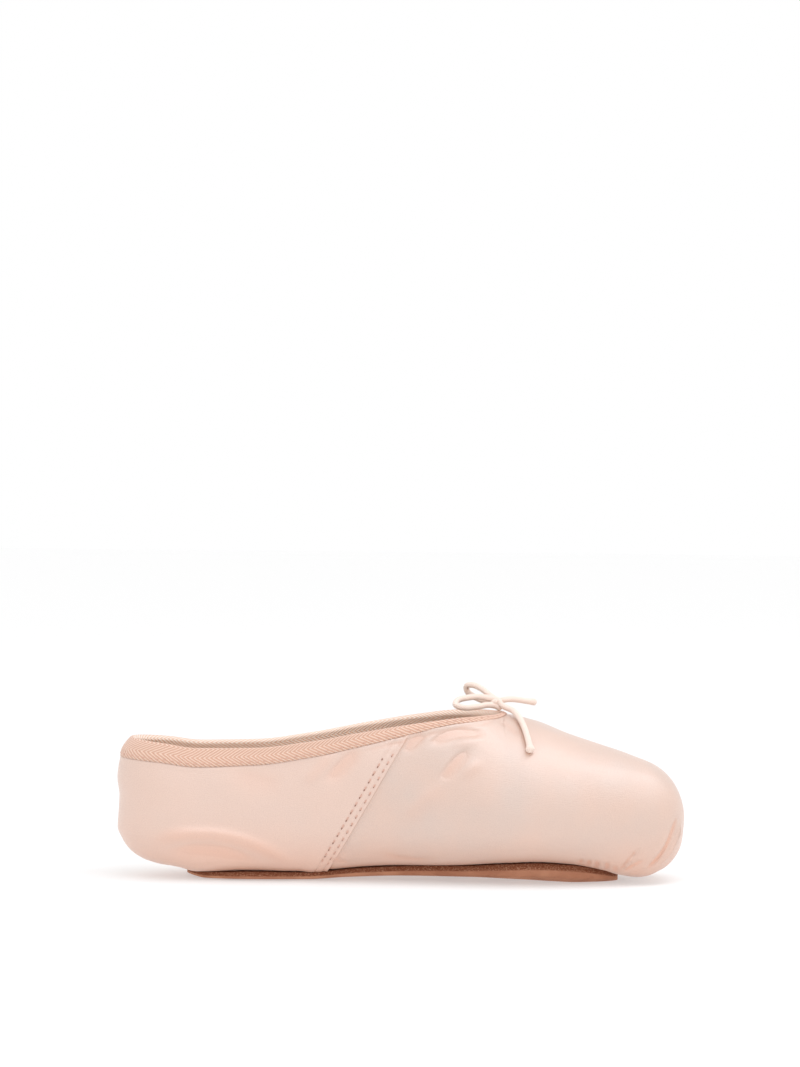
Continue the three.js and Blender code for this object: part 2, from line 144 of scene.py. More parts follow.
def smooth_path(points: Sequence[Sequence[float]], step: float) -> Array:
    """Smooth curve through points: cubic Hermite pieces on square roots of chords, evenly stepped.

    Args:
        points: the points that the curve goes through.
        step: distance between the points that come back.

    Returns:
        (n, d) points, step apart.
    """
    knots = np.array(points, float)
    chord = np.linalg.norm(np.diff(knots, axis=0), axis=1) ** 0.5
    place = np.concatenate([[0.0], np.cumsum(chord)])
    tangent = np.gradient(knots, place, axis=0)
    fine = np.linspace(0.0, place[-1], 40 * len(knots))
    i = np.clip(np.searchsorted(place, fine) - 1, 0, len(knots) - 2)
    width = (place[i + 1] - place[i])[:, None]
    t = ((fine - place[i])[:, None]) / width
    curve = (
        knots[i] * (1 + 2 * t) * (1 - t) ** 2
        + tangent[i] * width * t * (1 - t) ** 2
        + knots[i + 1] * t * t * (3 - 2 * t)
        + tangent[i + 1] * width * t * t * (t - 1)
    )
    gone = travelled(curve)
    even = np.linspace(0.0, gone[-1], max(3, int(round(gone[-1] / step)) + 1))
    return np.stack([np.interp(even, gone, curve[:, k]) for k in range(knots.shape[1])], axis=1)


# Meshes


class Side(Enum):
    """The two sides of the shoe; the camera sees the near one."""

    NEAR = -1.0
    FAR = 1.0


@dataclass
class Surface:
    """Points, corner indices of quads, a place on the cloth for each corner, and fields."""

    points: Array
    quads: Array
    cloth: Array
    fields: dict[str, Array] = field(default_factory=dict)

    @staticmethod
    def grid(points: Array, cloth: Array, loop: bool = False, turned: bool = False) -> "Surface":
        """Surface from a grid of points; the faces look along first axis cross second axis.

        Args:
            points: (n, m, 3) grid.
            cloth: (n, m, 2) place on the cloth in millimetres.
            loop: the second axis closes on itself.
            turned: the faces look the other way.

        Returns:
            The surface, with its seams not yet joined.
        """
        rows, columns = points.shape[:2]
        index = np.arange(rows * columns).reshape(rows, columns)
        if loop:
            index = np.concatenate([index, index[:, :1]], axis=1)
            wrapped = cloth[:, :1].copy()
            wrapped[..., 1] = 2 * cloth[:, -1:, 1] - cloth[:, -2:-1, 1]
            cloth = np.concatenate([cloth, wrapped], axis=1)
        corner = [index[:-1, :-1], index[1:, :-1], index[1:, 1:], index[:-1, 1:]]
        place = [cloth[:-1, :-1], cloth[1:, :-1], cloth[1:, 1:], cloth[:-1, 1:]]
        if turned:
            corner, place = corner[::-1], place[::-1]
        quads = np.stack([c.ravel() for c in corner], axis=1)
        laid = np.stack([p.reshape(-1, 2) for p in place], axis=1)
        return Surface(points.reshape(-1, 3), quads, laid)

    @staticmethod
    def joined(parts: Sequence["Surface"]) -> "Surface":
        """Several surfaces as one, with the fields that all of them have."""
        starts = np.cumsum([0] + [len(p.points) for p in parts[:-1]])
        shared = [k for k in parts[0].fields if all(k in p.fields for p in parts)]
        return Surface(
            np.concatenate([p.points for p in parts]),
            np.concatenate([p.quads + s for p, s in zip(parts, starts)]),
            np.concatenate([p.cloth for p in parts]),
            {k: np.concatenate([p.fields[k] for p in parts]) for k in shared},
        )

    def welded(self, grain: float = 2e-4) -> "Surface":
        """The same surface with equal points joined, to within a grain in millimetres."""
        _, first, back = np.unique(
            np.round(self.points / grain).astype(np.int64), axis=0,
            return_index=True, return_inverse=True,
        )
        back = back.ravel()
        return Surface(
            self.points[first],
            back[self.quads],
            self.cloth,
            {k: v[first] for k, v in self.fields.items()},
        )

    @staticmethod
    def both(points: Array, cloth: Array, fields: dict[str, Array] | None = None,
             loop: bool = False, split: bool = False) -> "Surface":
        """The near half and its mirror image, joined along the middle of the shoe.

        Args:
            points: (n, m, 3) grid of the near half.
            cloth: (n, m, 2) place on the cloth in millimetres.
            fields: (n, m) values at the points.
            loop: the second axis closes on itself.
            split: the cloth's second place counts below 0 on the near half.

        Returns:
            The welded surface.
        """
        parts = []
        for side in Side:
            laid = cloth * np.array([1.0, side.value]) if split else cloth
            part = Surface.grid(points * np.array([1.0, -side.value, 1.0]), laid, loop,
                                turned=side is Side.FAR)
            part.fields.update({k: v.ravel().copy() for k, v in (fields or {}).items()})
            parts.append(part)
        return Surface.joined(parts).welded()

    def triangles(self) -> tuple[Array, Array]:
        """Corners and cloth places of the triangles, without those that have closed up."""
        corners = np.concatenate([self.quads[:, [0, 1, 2]], self.quads[:, [0, 2, 3]]])
        cloth = np.concatenate([self.cloth[:, [0, 1, 2]], self.cloth[:, [0, 2, 3]]])
        whole = (
            (corners[:, 0] != corners[:, 1])
            & (corners[:, 1] != corners[:, 2])
            & (corners[:, 2] != corners[:, 0])
        )
        return corners[whole], cloth[whole]

    def normals(self) -> Array:
        """Normal at each point: the sum of the normals of the faces round it, made one long."""
        corners, _ = self.triangles()
        a, b, c = (self.points[corners[:, k]] for k in range(3))
        facing = np.cross(b - a, c - a)
        total = np.zeros_like(self.points)
        for k in range(3):
            np.add.at(total, corners[:, k], facing)
        size = np.linalg.norm(total, axis=1, keepdims=True)
        return total / np.where(size > 0, size, 1.0)

    def moved(self, distance: Array | float, normals: Array | None = None) -> "Surface":
        """The surface with each point moved along its normal by a distance in millimetres."""
        along = self.normals() if normals is None else normals
        by = np.broadcast_to(np.asarray(distance, float), (len(self.points),))[:, None]
        return Surface(self.points + along * by, self.quads, self.cloth, dict(self.fields))

    def rim(self) -> Array:
        """Directed edges that only one face has, as (n, 2) point indices."""
        sides = np.concatenate([self.quads[:, [k, (k + 1) % 4]] for k in range(4)])
        sides = sides[sides[:, 0] != sides[:, 1]]
        key = np.sort(sides, axis=1)
        _, back, count = np.unique(key, axis=0, return_inverse=True, return_counts=True)
        return sides[count[back.ravel()] == 1]

    def walled(self, outer: Array | float, inner: Array | float) -> "Surface":
        """Closed wall between two offsets of the surface: outside, turned inside, and the rim.

        Args:
            outer: offset of the outside along the normal.
            inner: offset of the inside.

        Returns:
            The closed surface.
        """
        normals = self.normals()
        outside = self.moved(outer, normals)
        inside = self.moved(inner, normals)
        shift = len(self.points)
        edge = self.rim()
        rim = np.stack([edge[:, 1], edge[:, 0], edge[:, 0] + shift, edge[:, 1] + shift], axis=1)
        return Surface(
            np.concatenate([outside.points, inside.points]),
            np.concatenate([self.quads, self.quads[:, ::-1] + shift, rim]),
            np.concatenate([self.cloth, self.cloth[:, ::-1], np.zeros((len(rim), 4, 2))]),
            {k: np.concatenate([v, v]) for k, v in self.fields.items()},
        )

    def piece(
        self,
        name: str,
        material: bpy.types.Material,
        slot: str | None,
        replaces: Sequence[str] = (),
    ) -> bpy.types.Object:
        """Blender object of the surface, riding on the shoe's body.

        Args:
            name: the piece's name.
            material: its finish.
            slot: the record's material slot, if it has one. It is not used.
            replaces: the CAD nodes that it stands for.

        Returns:
            The object, in place.
        """
        corners, cloth = self.triangles()
        mesh = bpy.data.meshes.new(name)
        mesh.vertices.add(len(self.points))
        mesh.vertices.foreach_set("co", (self.points * MM).astype(np.float32).ravel())
        mesh.loops.add(len(corners) * 3)
        mesh.loops.foreach_set("vertex_index", corners.astype(np.int32).ravel())
        mesh.polygons.add(len(corners))
        mesh.polygons.foreach_set("loop_start", np.arange(0, len(corners) * 3, 3, dtype=np.int32))
        mesh.polygons.foreach_set("use_smooth", np.ones(len(corners), bool))
        layer = mesh.uv_layers.new(name="cloth")
        layer.data.foreach_set("uv", cloth.astype(np.float32).ravel())
        for key, values in self.fields.items():
            spread = mesh.attributes.new(key, "FLOAT", "POINT")
            spread.data.foreach_set("value", values.astype(np.float32))
        mesh.update()
        mesh.validate()
        mesh.materials.append(material)
        thing = bpy.data.objects.new(name, mesh)
        bpy.context.scene.collection.objects.link(thing)
        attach(thing, "root")
        if replaces:
            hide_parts(*replaces)
        LOG.info("%s: %d points, %d triangles", name, len(self.points), len(corners))
        return thing


# Finishes


def linear(code: str) -> tuple[float, float, float, float]:
    """Linear colour of an sRGB hex code such as #efd1c6."""
    parts = [int(code[k:k + 2], 16) / 255 for k in (1, 3, 5)]
    curved = [c / 12.92 if c <= 0.04045 else ((c + 0.055) / 1.055) ** 2.4 for c in parts]
    return (curved[0], curved[1], curved[2], 1.0)


def add_node(
    tree: bpy.types.NodeTree,
    kind: str,
    settings: dict[str, Any] | None = None,
    inputs: dict[str | int, Any] | None = None,
) -> bpy.types.Node:
    """Add a node with its settings, the values of its sockets and its links.

    Args:
        tree: the material's node tree.
        kind: the node's type name, without ShaderNode before it.
        settings: attributes of the node.
        inputs: socket name or number to a value, to the output that it is linked from, or to a
            node, which stands for its first output in use.

    Returns:
        The node.
    """
    node = tree.nodes.new("ShaderNode" + kind)
    for key, value in (settings or {}).items():
        setattr(node, key, value)
    for key, value in (inputs or {}).items():
        if isinstance(value, bpy.types.Node):
            value = next(out for out in value.outputs if out.enabled)
        if isinstance(value, bpy.types.NodeSocket):
            tree.links.new(value, node.inputs[key])
        else:
            node.inputs[key].default_value = value
    return node


Adder = Callable[..., bpy.types.Node]


def started(name: str) -> tuple[bpy.types.Material, Adder]:
    """New material without nodes, and add_node for its tree."""
    made = bpy.data.materials.new(name)
    made.use_nodes = True
    made.node_tree.nodes.clear()
    return made, partial(add_node, made.node_tree)


def finished(node: Adder, look: dict[str, Any], height: bpy.types.Node | None = None,
             strength: float = 0.0, depth_mm: float = 0.2) -> None:
    """Add the shader, with a bump where there is a height, and link it to the output.

    Args:
        node: adds a node to the material.
        look: the shader's sockets.
        height: the height of the cloth's or leather's grain, from 0 to about 1.
        strength: how strongly the bump shows.
        depth_mm: how high a height of 1 stands.
    """
    if height:
        look["Normal"] = node("Bump", {}, {
            "Height": height, "Strength": strength, "Distance": depth_mm * MM})
    node("OutputMaterial", {}, {"Surface": node("BsdfPrincipled", {}, look)})


def waves(node: Adder, place: Any, length_mm: float) -> bpy.types.Node:
    """Sine waves, from -1 to 1, along a place in millimetres."""
    turn = node("Math", {"operation": "MULTIPLY"}, {0: place, 1: 2 * math.pi / length_mm})
    return node("Math", {"operation": "SINE"}, {0: turn})


@dataclass(frozen=True)
class PolyesterSatin:
    """Polyester satin, woven with long floats: a soft broad gloss over a pale peach body.

    The floats are about 0.1 mm wide, finer than the render shows, so the grain is drawn at
    0.45 mm. The creases and the lower shell are painted warmer: painted shade that stands in
    for light bounced between the creases' sides and up from below.
    """

    body: str = "#dbb6a1"
    # painted shading: the heel panel is tinted lighter than the vamp, though both are the same
    # satin
    quarter: str = "#e6c1ad"
    # painted shade: the warm tint of creases and of the lower shell
    warm: str = "#eda277"
    cool: str = "#d0b5a5"
    # darker tint mixed in towards the bottom of the shell
    bottom_tint: str = "#c9a190"
    grain: str = "#b98f80"
    grain_mm: float = 0.45
    mottle_mm: float = 26.0
    roughness: float = 0.42

    def make(self) -> bpy.types.Material:
        """Make the material; the shell's fields give the painted warm shade, a darker bottom and
        the heel panel.
        """
        made, node = started("polyester_satin_woven")
        where = node("TexCoord")
        hollow, soil, heel = (
            node("Attribute", {"attribute_name": name}).outputs["Fac"]
            for name in ("hollow", "soil", "quarter")
        )
        mottle = node("TexNoise", {}, {
            "Vector": where.outputs["Object"], "Scale": 1000 / self.mottle_mm, "Detail": 3.0,
            "Roughness": 0.5})
        slub, weave = (
            node("TexNoise", {}, {
                "Vector": node("Mapping", {}, {"Vector": where.outputs["UV"], "Scale": scale}),
                "Scale": 1.0, "Detail": detail, "Roughness": rough})
            for scale, detail, rough in (
                ((0.35, 2.2, 1.0), 3.0, 0.6),
                ((1 / self.grain_mm, 1.6 / self.grain_mm, 1.0), 2.0, 0.7),
            )
        )
        patches = node("MapRange", {}, {
            "Value": mottle, "From Min": 0.38, "From Max": 0.68, "To Max": 0.8})
        # painted shading: the heel panel lighter than the vamp
        panel = node("Math", {"operation": "MULTIPLY"}, {0: heel, 1: 0.65})
        floats = node("MapRange", {}, {
            "Value": weave, "From Min": 0.4, "From Max": 0.7, "To Max": 0.3})
        colour: Any = linear(self.body)
        for share, tint, blend in (
            (patches, self.cool, "MIX"), (panel, self.quarter, "MIX"), (hollow, self.warm, "MIX"),
            (soil, self.bottom_tint, "MIX"), (floats, self.grain, "MULTIPLY"),
        ):
            colour = node("Mix", {"data_type": "RGBA", "blend_type": blend},
                          {0: share, 6: colour, 7: linear(tint)})
        height = node("Math", {"operation": "MULTIPLY_ADD"}, {0: slub, 1: 0.8, 2: weave})
        gloss = node("MapRange", {}, {
            "Value": weave, "From Min": 0.3, "From Max": 0.7,
            "To Min": self.roughness - 0.06, "To Max": self.roughness + 0.06})
        finished(node, {
            "Base Color": colour, "Roughness": gloss, "IOR": 1.9, "Specular IOR Level": 1.0,
            "Coat Weight": 0.6, "Coat IOR": 1.6, "Coat Roughness": 0.38,
            "Sheen Weight": 0.12, "Sheen Roughness": 0.4, "Sheen Tint": linear("#fff1ea"),
        }, height, 0.42, 0.4)
        return made


@dataclass(frozen=True)
class HerringboneTape:
    """Cotton tape in a herringbone twill: matt ribs that meet in a spine along the middle."""

    thread: str = "#eecdba"
    furrow: str = "#d6a58c"
    # painted light: the inner leg is tinted lighter, for light that reaches the inside of the
    # collar
    inside: str = "#fff0e4"
    inside_furrow: str = "#f0c8ae"
    rib_mm: float = 1.9
    leg_mm: float = 6.4
    slant: float = 1.8

    def make(self) -> bpy.types.Material:
        """Make the material: ribs run at an angle to the spine, on both sides of it."""
        made, node = started("herringbone_cotton_tape")
        where = node("TexCoord")
        solid = where.outputs["Object"]
        split = node("SeparateXYZ", {}, {0: where.outputs["UV"]})
        across = node("Math", {"operation": "ABSOLUTE"}, {0: split.outputs[1]})
        centred = node("Math", {"operation": "SUBTRACT"}, {0: across, 1: 0.5})
        away = node("Math", {"operation": "ABSOLUTE"}, {0: centred})
        slanted = node("Math", {"operation": "MULTIPLY_ADD"},
                       {0: away, 1: -self.leg_mm * self.slant, 2: split.outputs[0]})
        wobble = node("TexNoise", {}, {"Vector": solid, "Scale": 420.0, "Detail": 2.0})
        shifted = node("Math", {"operation": "MULTIPLY_ADD"}, {0: wobble, 1: 0.7, 2: slanted})
        rib = node("MapRange", {}, {
            "Value": waves(node, shifted, self.rib_mm), "From Min": -1.0, "From Max": 1.0})
        outer, inner = (
            node("Mix", {"data_type": "RGBA"}, {0: rib, 6: linear(low), 7: linear(high)})
            for low, high in ((self.furrow, self.thread), (self.inside_furrow, self.inside))
        )
        # painted light on the inner leg
        within = node("Attribute", {"attribute_name": "inner"}).outputs["Fac"]
        colour = node("Mix", {"data_type": "RGBA"}, {0: within, 6: outer, 7: inner})
        fibre = node("TexNoise", {}, {"Vector": solid, "Scale": 1900.0, "Detail": 3.0})
        height = node("Math", {"operation": "MULTIPLY_ADD"}, {0: fibre, 1: 0.5, 2: rib})
        finished(node, {
            "Base Color": colour, "Roughness": 0.86, "Specular IOR Level": 0.25,
            "Sheen Weight": 0.3, "Sheen Roughness": 0.6}, height, 0.75, 0.3)
        return made


class Twist(Enum):
    """How the yarns of a cord or thread lie."""

    BRAIDED = 0.9
    SEWN = 0.35


@dataclass(frozen=True)
class CottonCord:
    """Braided cotton: matt, with yarns that cross the cord at a slant."""

    name: str
    yarn: str = "#fff0e6"
    gap: str = "#eccab6"
    yarn_mm: float = 0.9
    twist: Twist = Twist.BRAIDED

    def make(self) -> bpy.types.Material:
        """Make the material: two sets of slanted yarns over and under each other."""
        made, node = started(self.name)
        split = node("SeparateXYZ", {}, {0: node("TexCoord").outputs["UV"]})
        one, other = (
            waves(node, node("Math", {"operation": "MULTIPLY_ADD"},
                             {0: split.outputs[1], 1: hand, 2: split.outputs[0]}), self.yarn_mm)
            for hand in (self.twist.value, -self.twist.value)
        )
        over = node("Math", {"operation": "MAXIMUM"}, {0: one, 1: other})
        yarn = node("MapRange", {}, {"Value": over, "From Min": -0.6, "From Max": 1.0})
        colour = node("Mix", {"data_type": "RGBA"},
                      {0: yarn, 6: linear(self.gap), 7: linear(self.yarn)})
        finished(node, {
            "Base Color": colour, "Roughness": 0.85, "Specular IOR Level": 0.25,
            "Sheen Weight": 0.35, "Sheen Roughness": 0.55}, yarn, 0.6)
        return made


@dataclass(frozen=True)
class CottonTwill:
    """Cotton drill lining and sock: a matt cream cloth with diagonal lines about 1 mm apart."""

    name: str = "cotton_drill_lining"
    high: str = "#eed9c6"
    low: str = "#d2b096"
    line_mm: float = 0.8

    def make(self) -> bpy.types.Material:
        """Make the material."""
        made, node = started(self.name)
        where = node("TexCoord")
        split = node("SeparateXYZ", {}, {0: where.outputs["UV"]})
        slanted = node("Math", {"operation": "ADD"}, {0: split.outputs[0], 1: split.outputs[1]})
        line = waves(node, slanted, self.line_mm)
        mottle = node("TexNoise", {}, {
            "Vector": where.outputs["Object"], "Scale": 90.0, "Detail": 4.0})
        lifted = node("Math", {"operation": "MULTIPLY_ADD"}, {0: line, 1: 0.18, 2: mottle})
        colour = node("Mix", {"data_type": "RGBA"},
                      {0: lifted, 6: linear(self.low), 7: linear(self.high)})
        finished(node, {"Base Color": colour, "Roughness": 0.9, "Specular IOR Level": 0.2},
                 line, 0.35)
        return made


@dataclass(frozen=True)
class SoleLeather:
    """Vegetable tanned split leather: a buffed tan face and a rough dark cut edge.

    The face is scuffed where it meets the floor. Pale fibres stand out of the cut edge, about
    0.4 mm apart.
    """

    face: str = "#c28a6c"
    scuffed: str = "#ab7256"
    cut: str = "#7d4427"
    fibre: str = "#cf9b7c"

    def make(self) -> bpy.types.Material:
        """Make the material; the attribute edge is 1 on the rough upper band of the cut."""
        made, node = started("split_leather_buffed")
        solid = node("TexCoord").outputs["Object"]
        edge = node("Attribute", {"attribute_name": "edge"}).outputs["Fac"]
        grain = node("TexNoise", {}, {"Vector": solid, "Scale": 900.0, "Detail": 5.0})
        cloud = node("TexNoise", {}, {"Vector": solid, "Scale": 70.0, "Detail": 4.0})
        strand = node("TexNoise", {}, {
            "Vector": node("Mapping", {}, {"Vector": solid, "Scale": (1.0, 1.0, 2.4)}),
            "Scale": 1500.0, "Detail": 3.0, "Roughness": 0.8})
        bottom_tint = node("MapRange", {}, {"Value": cloud, "From Min": 0.4, "From Max": 0.65})
        pale = node("MapRange", {}, {"Value": strand, "From Min": 0.5, "From Max": 0.68})
        face, rough = (
            node("Mix", {"data_type": "RGBA"}, {0: share, 6: linear(one), 7: linear(other)})
            for share, one, other in (
                (bottom_tint, self.face, self.scuffed), (pale, self.cut, self.fibre))
        )
        colour = node("Mix", {"data_type": "RGBA"}, {0: edge, 6: face, 7: rough})
        height = node("Math", {"operation": "MULTIPLY_ADD"}, {0: strand, 1: edge, 2: grain})
        finished(node, {"Base Color": colour, "Roughness": 0.72, "Specular IOR Level": 0.35},
                 height, 0.55, 0.4)
        return made


@dataclass(frozen=True)
class PlainMatt:
    """A plain matt finish with a faint grain, for the painted shade of needle holes and for the
    studio floor.
    """

    name: str
    colour: str
    grain: float = 0.04
    glow: float = 0.0

    def make(self) -> bpy.types.Material:
        """Make the material."""
        made, node = started(self.name)
        noise = node("TexNoise", {}, {
            "Vector": node("TexCoord").outputs["Object"], "Scale": 900.0})
        full = linear(self.colour)
        less = (*(c * (1.0 - self.grain) for c in full[:3]), 1.0)
        colour = node("Mix", {"data_type": "RGBA"}, {0: noise, 6: less, 7: full})
        finished(node, {
            "Base Color": colour, "Roughness": 0.95, "Specular IOR Level": 0.1,
            "Emission Color": linear("#ffffff"), "Emission Strength": self.glow})
        return made


# The last


@dataclass
class ShoeLast:
    """The last that every shell of the shoe follows, as ribs across the foot.

    A rib runs from the edge of the sole opening out over the flat underside, round the belly and
    up to the collar, or to the ridge where the vamp closes. Its lower and upper arcs are
    quarters of superellipses.
    """

    heel_x: float = -117.5
    toe_x: float = 117.8
    platform_z: float = 21.0
    throat_x: float = 42.0
    throat_start: float = 14.0
    throat_turn: float = 20.0
    throat_across: float = 40.0
    throat_power: float = 2.1
    # where heel and toe begin to close, the powers of their rounding, and how far their lines
    # move the stations
    heel_round: float = -86.0
    heel_power: float = 2.25
    toe_round: float = 99.0
    toe_power: float = 2.8
    heel_blend: float = 40.0
    toe_blend: float = 26.0
    arc_steps: int = 48
    throat_blend: tuple[float, ...] = (-3.0, -1.5, 0.0, 1.5, 3.0)
    # x, half width and height of the belly, half width and height of the collar, underside
    # height, powers of the upper and lower arcs
    sections: tuple[tuple[float, ...], ...] = (
        (-117.5, 25.0, 23.0, 19.6, 57.0, 5.6, 2.2, 2.2),
        (-100.0, 25.4, 23.0, 19.6, 55.6, 4.8, 2.2, 2.2),
        (-84.0, 25.8, 22.5, 20.0, 54.0, 3.3, 2.2, 2.2),
        (-60.0, 26.4, 22.0, 21.6, 54.4, 3.8, 2.2, 2.2),
        (-38.0, 27.6, 22.0, 23.6, 57.2, 3.7, 2.2, 2.1),
        (-15.0, 29.8, 22.0, 24.8, 61.6, 5.6, 2.2, 2.0),
        (8.0, 33.2, 22.0, 24.4, 65.6, 6.8, 2.2, 2.0),
        (28.0, 36.0, 22.0, 22.5, 68.0, 7.4, 2.15, 2.0),
        (42.0, 37.2, 22.0, 20.0, 68.4, 8.4, 2.1, 2.0),
        (55.0, 37.0, 22.0, 18.0, 66.2, 9.0, 2.1, 2.0),
        (70.0, 35.2, 22.0, 18.0, 60.4, 8.3, 2.15, 2.05),
        (84.0, 31.6, 21.5, 18.0, 55.4, 5.6, 2.2, 2.15),
        (91.0, 29.5, 21.2, 18.0, 53.1, 3.5, 2.25, 2.2),
        (98.0, 27.0, 21.0, 18.0, 50.6, 2.9, 2.3, 2.3),
        (117.8, 21.6, 21.0, 18.0, 44.2, 6.0, 2.5, 2.5),
    )
    # height and how far the heel's back line lies in front of the first station
    heel_line: tuple[tuple[float, float], ...] = (
        (5.6, 16.0), (7.5, 10.6), (11.0, 5.4), (16.0, 1.8), (20.5, 0.1), (27.0, 0.5),
        (33.5, 0.9), (41.0, 0.1), (46.0, 0.5), (51.5, 1.9), (55.0, 3.9), (57.0, 5.6),
    )
    # height and how far the platform leans back there
    toe_line: tuple[tuple[float, float], ...] = (
        (2.0, 3.2), (12.0, 1.8), (21.0, 0.9), (30.0, 0.1), (69.0, 0.0),
    )
    # x, wall thickness
    wall: tuple[tuple[float, float], ...] = (
        (-117.5, 2.0), (-60.0, 1.7), (0.0, 1.7), (40.0, 2.2), (75.0, 2.8), (117.8, 3.0),
    )
    # x, half width of the outsole, height of its face, and of the face's edge over that
    sole: tuple[tuple[float, float, float, float], ...] = (
        (-88.4, 17.0, 1.4, 0.5), (-80.0, 17.0, 0.0, 0.8), (-62.0, 17.0, 0.0, 0.8),
        (-38.0, 15.4, 0.0, 1.0), (-22.0, 13.8, 0.9, 1.2), (0.0, 13.6, 1.7, 0.9),
        (28.0, 18.6, 1.8, 1.4), (50.0, 22.4, 1.2, 2.3), (64.0, 21.6, 0.4, 3.1),
        (73.0, 20.0, 0.0, 2.8), (82.0, 18.4, 0.0, 2.0), (90.4, 17.0, 0.0, 1.0),
    )
    sole_end: float = 24.0
    sole_power: float = 2.1
    lasting_margin: float = 4.4
    # most of the belly's width that is flat below, most of the flat that is open, and most of
    # the belly's width that the collar takes
    flat_most: float = 0.8
    seam_most: float = 0.995
    collar_most: float = 0.98

    def __post_init__(self) -> None:
        """Make the curves through the tables."""
        names = ("width", "belly", "collar", "top", "under", "upper", "lower")
        self.curve = {n: monotone(self.sections, i + 1) for i, n in enumerate(names)}
        self.heel_at, self.toe_at = monotone(self.heel_line), monotone(self.toe_line)
        self.wall_at = monotone(self.wall)
        self.sole_width, self.sole_face, self.sole_lift = (
            monotone(self.sole, k) for k in (1, 2, 3))

    def heel_closure(self, x: Array) -> Array:
        """Factor that closes the heel's widths to nothing at the back line."""
        return closure(-np.asarray(x, float), -self.heel_round, -self.heel_x, self.heel_power)

    def toe_closure(self, x: Array) -> Array:
        """Factor that closes the toe's widths and heights to the middle of the platform."""
        return closure(x, self.toe_round, self.toe_x, self.toe_power)

    def sole_half(self, x: Array, margin: float = 0.0) -> Array:
        """Half width of the outsole's outline, in by a margin all round."""
        first, last = self.sole[0][0], self.sole[-1][0]
        heel = closure(-np.asarray(x, float), -(first + self.sole_end), -(first + margin),
                       self.sole_power)
        toe = closure(x, last - self.sole_end, last - margin, self.sole_power)
        return (self.sole_width(x) - margin) * heel * toe

    def collar_half(self, x: Array, offset: Array | float = 0.0) -> Array:
        """Half width of the collar's edge, moved outwards by an offset."""
        x = np.asarray(x, float)
        throat = closure(x, self.throat_start, self.throat_x + offset, self.throat_power)
        return (self.curve["collar"](x) + offset) * self.heel_closure(x) * throat

    def placed(self, x: Array, z: Array) -> Array:
        """Station moved along the shoe so that heel and platform follow their own lines."""
        heel = 1.0 - smoothstep((x - self.heel_x) / self.heel_blend)
        toe = 1.0 - smoothstep((self.toe_x - x) / self.toe_blend)
        return x + self.heel_at(z) * heel - self.toe_at(z) * toe

    def girth_at(self, ribs: dict[str, Array], half: Array) -> Array:
        """Girth at which the upper arc of each rib has come in to a half width."""
        k = self.arc_steps + 1
        return rowwise(-half[:, None], -ribs["y"][:, k:], ribs["girth"][:, k:])[:, 0]

    def ribs(self, x: Array) -> dict[str, Array]:
        """Ribs at stations x: half widths, heights and girths along each, row by row.

        The lower arc is y = flat + (width - flat) sin^(2/n) and z = belly - (belly - under)
        cos^(2/n); the upper one is y = width cos^(2/m) and z = belly + (top - belly)
        sin^(2/m) / reach, where reach makes it pass the collar's edge. Reach is a mean over
        places just behind and ahead, or else a crease would run down from the throat's point.
        """
        x = np.asarray(x, float).ravel()
        heel, toe = self.heel_closure(x), self.toe_closure(x)
        c = {k: f(x) for k, f in self.curve.items()}
        width = c["width"] * heel * toe
        under, top = (self.platform_z + (c[k] - self.platform_z) * toe for k in ("under", "top"))
        place = self.placed(x, under)
        flat = (self.sole_width(place) - self.lasting_margin) * heel * toe
        flat = np.minimum(flat, width * self.flat_most)
        opening = np.maximum(self.sole_half(place, self.lasting_margin), 0.0)
        seam = np.minimum(opening, flat * self.seam_most)
        wide = np.where(width > 0, width, np.inf)
        spread = smoothstep((x - 10.0) / 20.0)
        share, *nearby = (
            np.minimum(self.collar_half(x + shift * spread) / wide, self.collar_most)
            for shift in (0.0, *self.throat_blend)
        )
        reach = sum((1.0 - near ** c["upper"]) ** (1.0 / c["upper"]) for near in nearby)
        turn = np.linspace(0.0, math.pi / 2, self.arc_steps + 1)[None, :]
        cos, sin = np.clip(np.cos(turn), 0, 1), np.sin(turn)
        cos[:, -1] = 0.0
        low, high = (2.0 / c[k][:, None] for k in ("lower", "upper"))
        reach, width, under, flat, seam, belly, top = (
            v[:, None] for v in (reach / len(nearby), width, under, flat, seam, c["belly"], top))
        y = np.concatenate(
            [seam, flat + (width - flat) * sin**low, (width * cos**high)[:, 1:]], axis=1)
        z = np.concatenate(
            [under, belly - (belly - under) * cos**low,
             (belly + (top - belly) * sin**high / reach)[:, 1:]], axis=1)
        ribs = {"x": x, "y": y, "z": z, "girth": row_lengths(y, z)}
        ribs["flat"] = ribs["girth"][:, 1]
        at_edge = self.girth_at(ribs, share * width[:, 0])
        ribs["collar"] = np.where(share > 0, at_edge, ribs["girth"][:, -1])
        return ribs

    def edge(self, ribs: dict[str, Array], offset: Array | float = 0.0) -> Array:
        """Girth of the collar's edge moved outwards by an offset, on each rib."""
        half = self.collar_half(ribs["x"], offset)
        across = np.where(half > 0, self.girth_at(ribs, half), ribs["girth"][:, -1])
        turned = (ribs["x"] - self.throat_turn) / (self.throat_across - self.throat_turn)
        blend = smoothstep(turned)
        return (ribs["collar"] - offset) * (1 - blend) + across * blend

    def on(self, ribs: dict[str, Array], girth: Array) -> Array:
        """Points of the near half at girths, (n, m, 3)."""
        y, z = (rowwise(girth, ribs["girth"], ribs[k]) for k in "yz")
        x = self.placed(np.broadcast_to(ribs["x"][:, None], y.shape), z)
        return np.stack([x, -np.maximum(y, 0.0), z], axis=-1)

    def at_height(self, places: Array, side: Side) -> Array:
        """Points of one side of the last at stations and heights, (n, 2) to (n, 3)."""
        ribs = self.ribs(places[:, 0])
        y = rowwise(places[:, 1:2], ribs["z"], ribs["y"])[:, 0]
        x = self.placed(places[:, 0], places[:, 1])
        return np.stack([x, side.value * y, places[:, 1]], axis=1)

    def underside(self, x: Array) -> Array:
        """Height of the upper's edge over the sole, where it lies at x."""
        stations = np.linspace(self.heel_x, self.toe_x, 400)
        under = self.ribs(stations)["z"][:, 0]
        return np.interp(x, self.placed(stations, under), under)


# Folds in the cloth


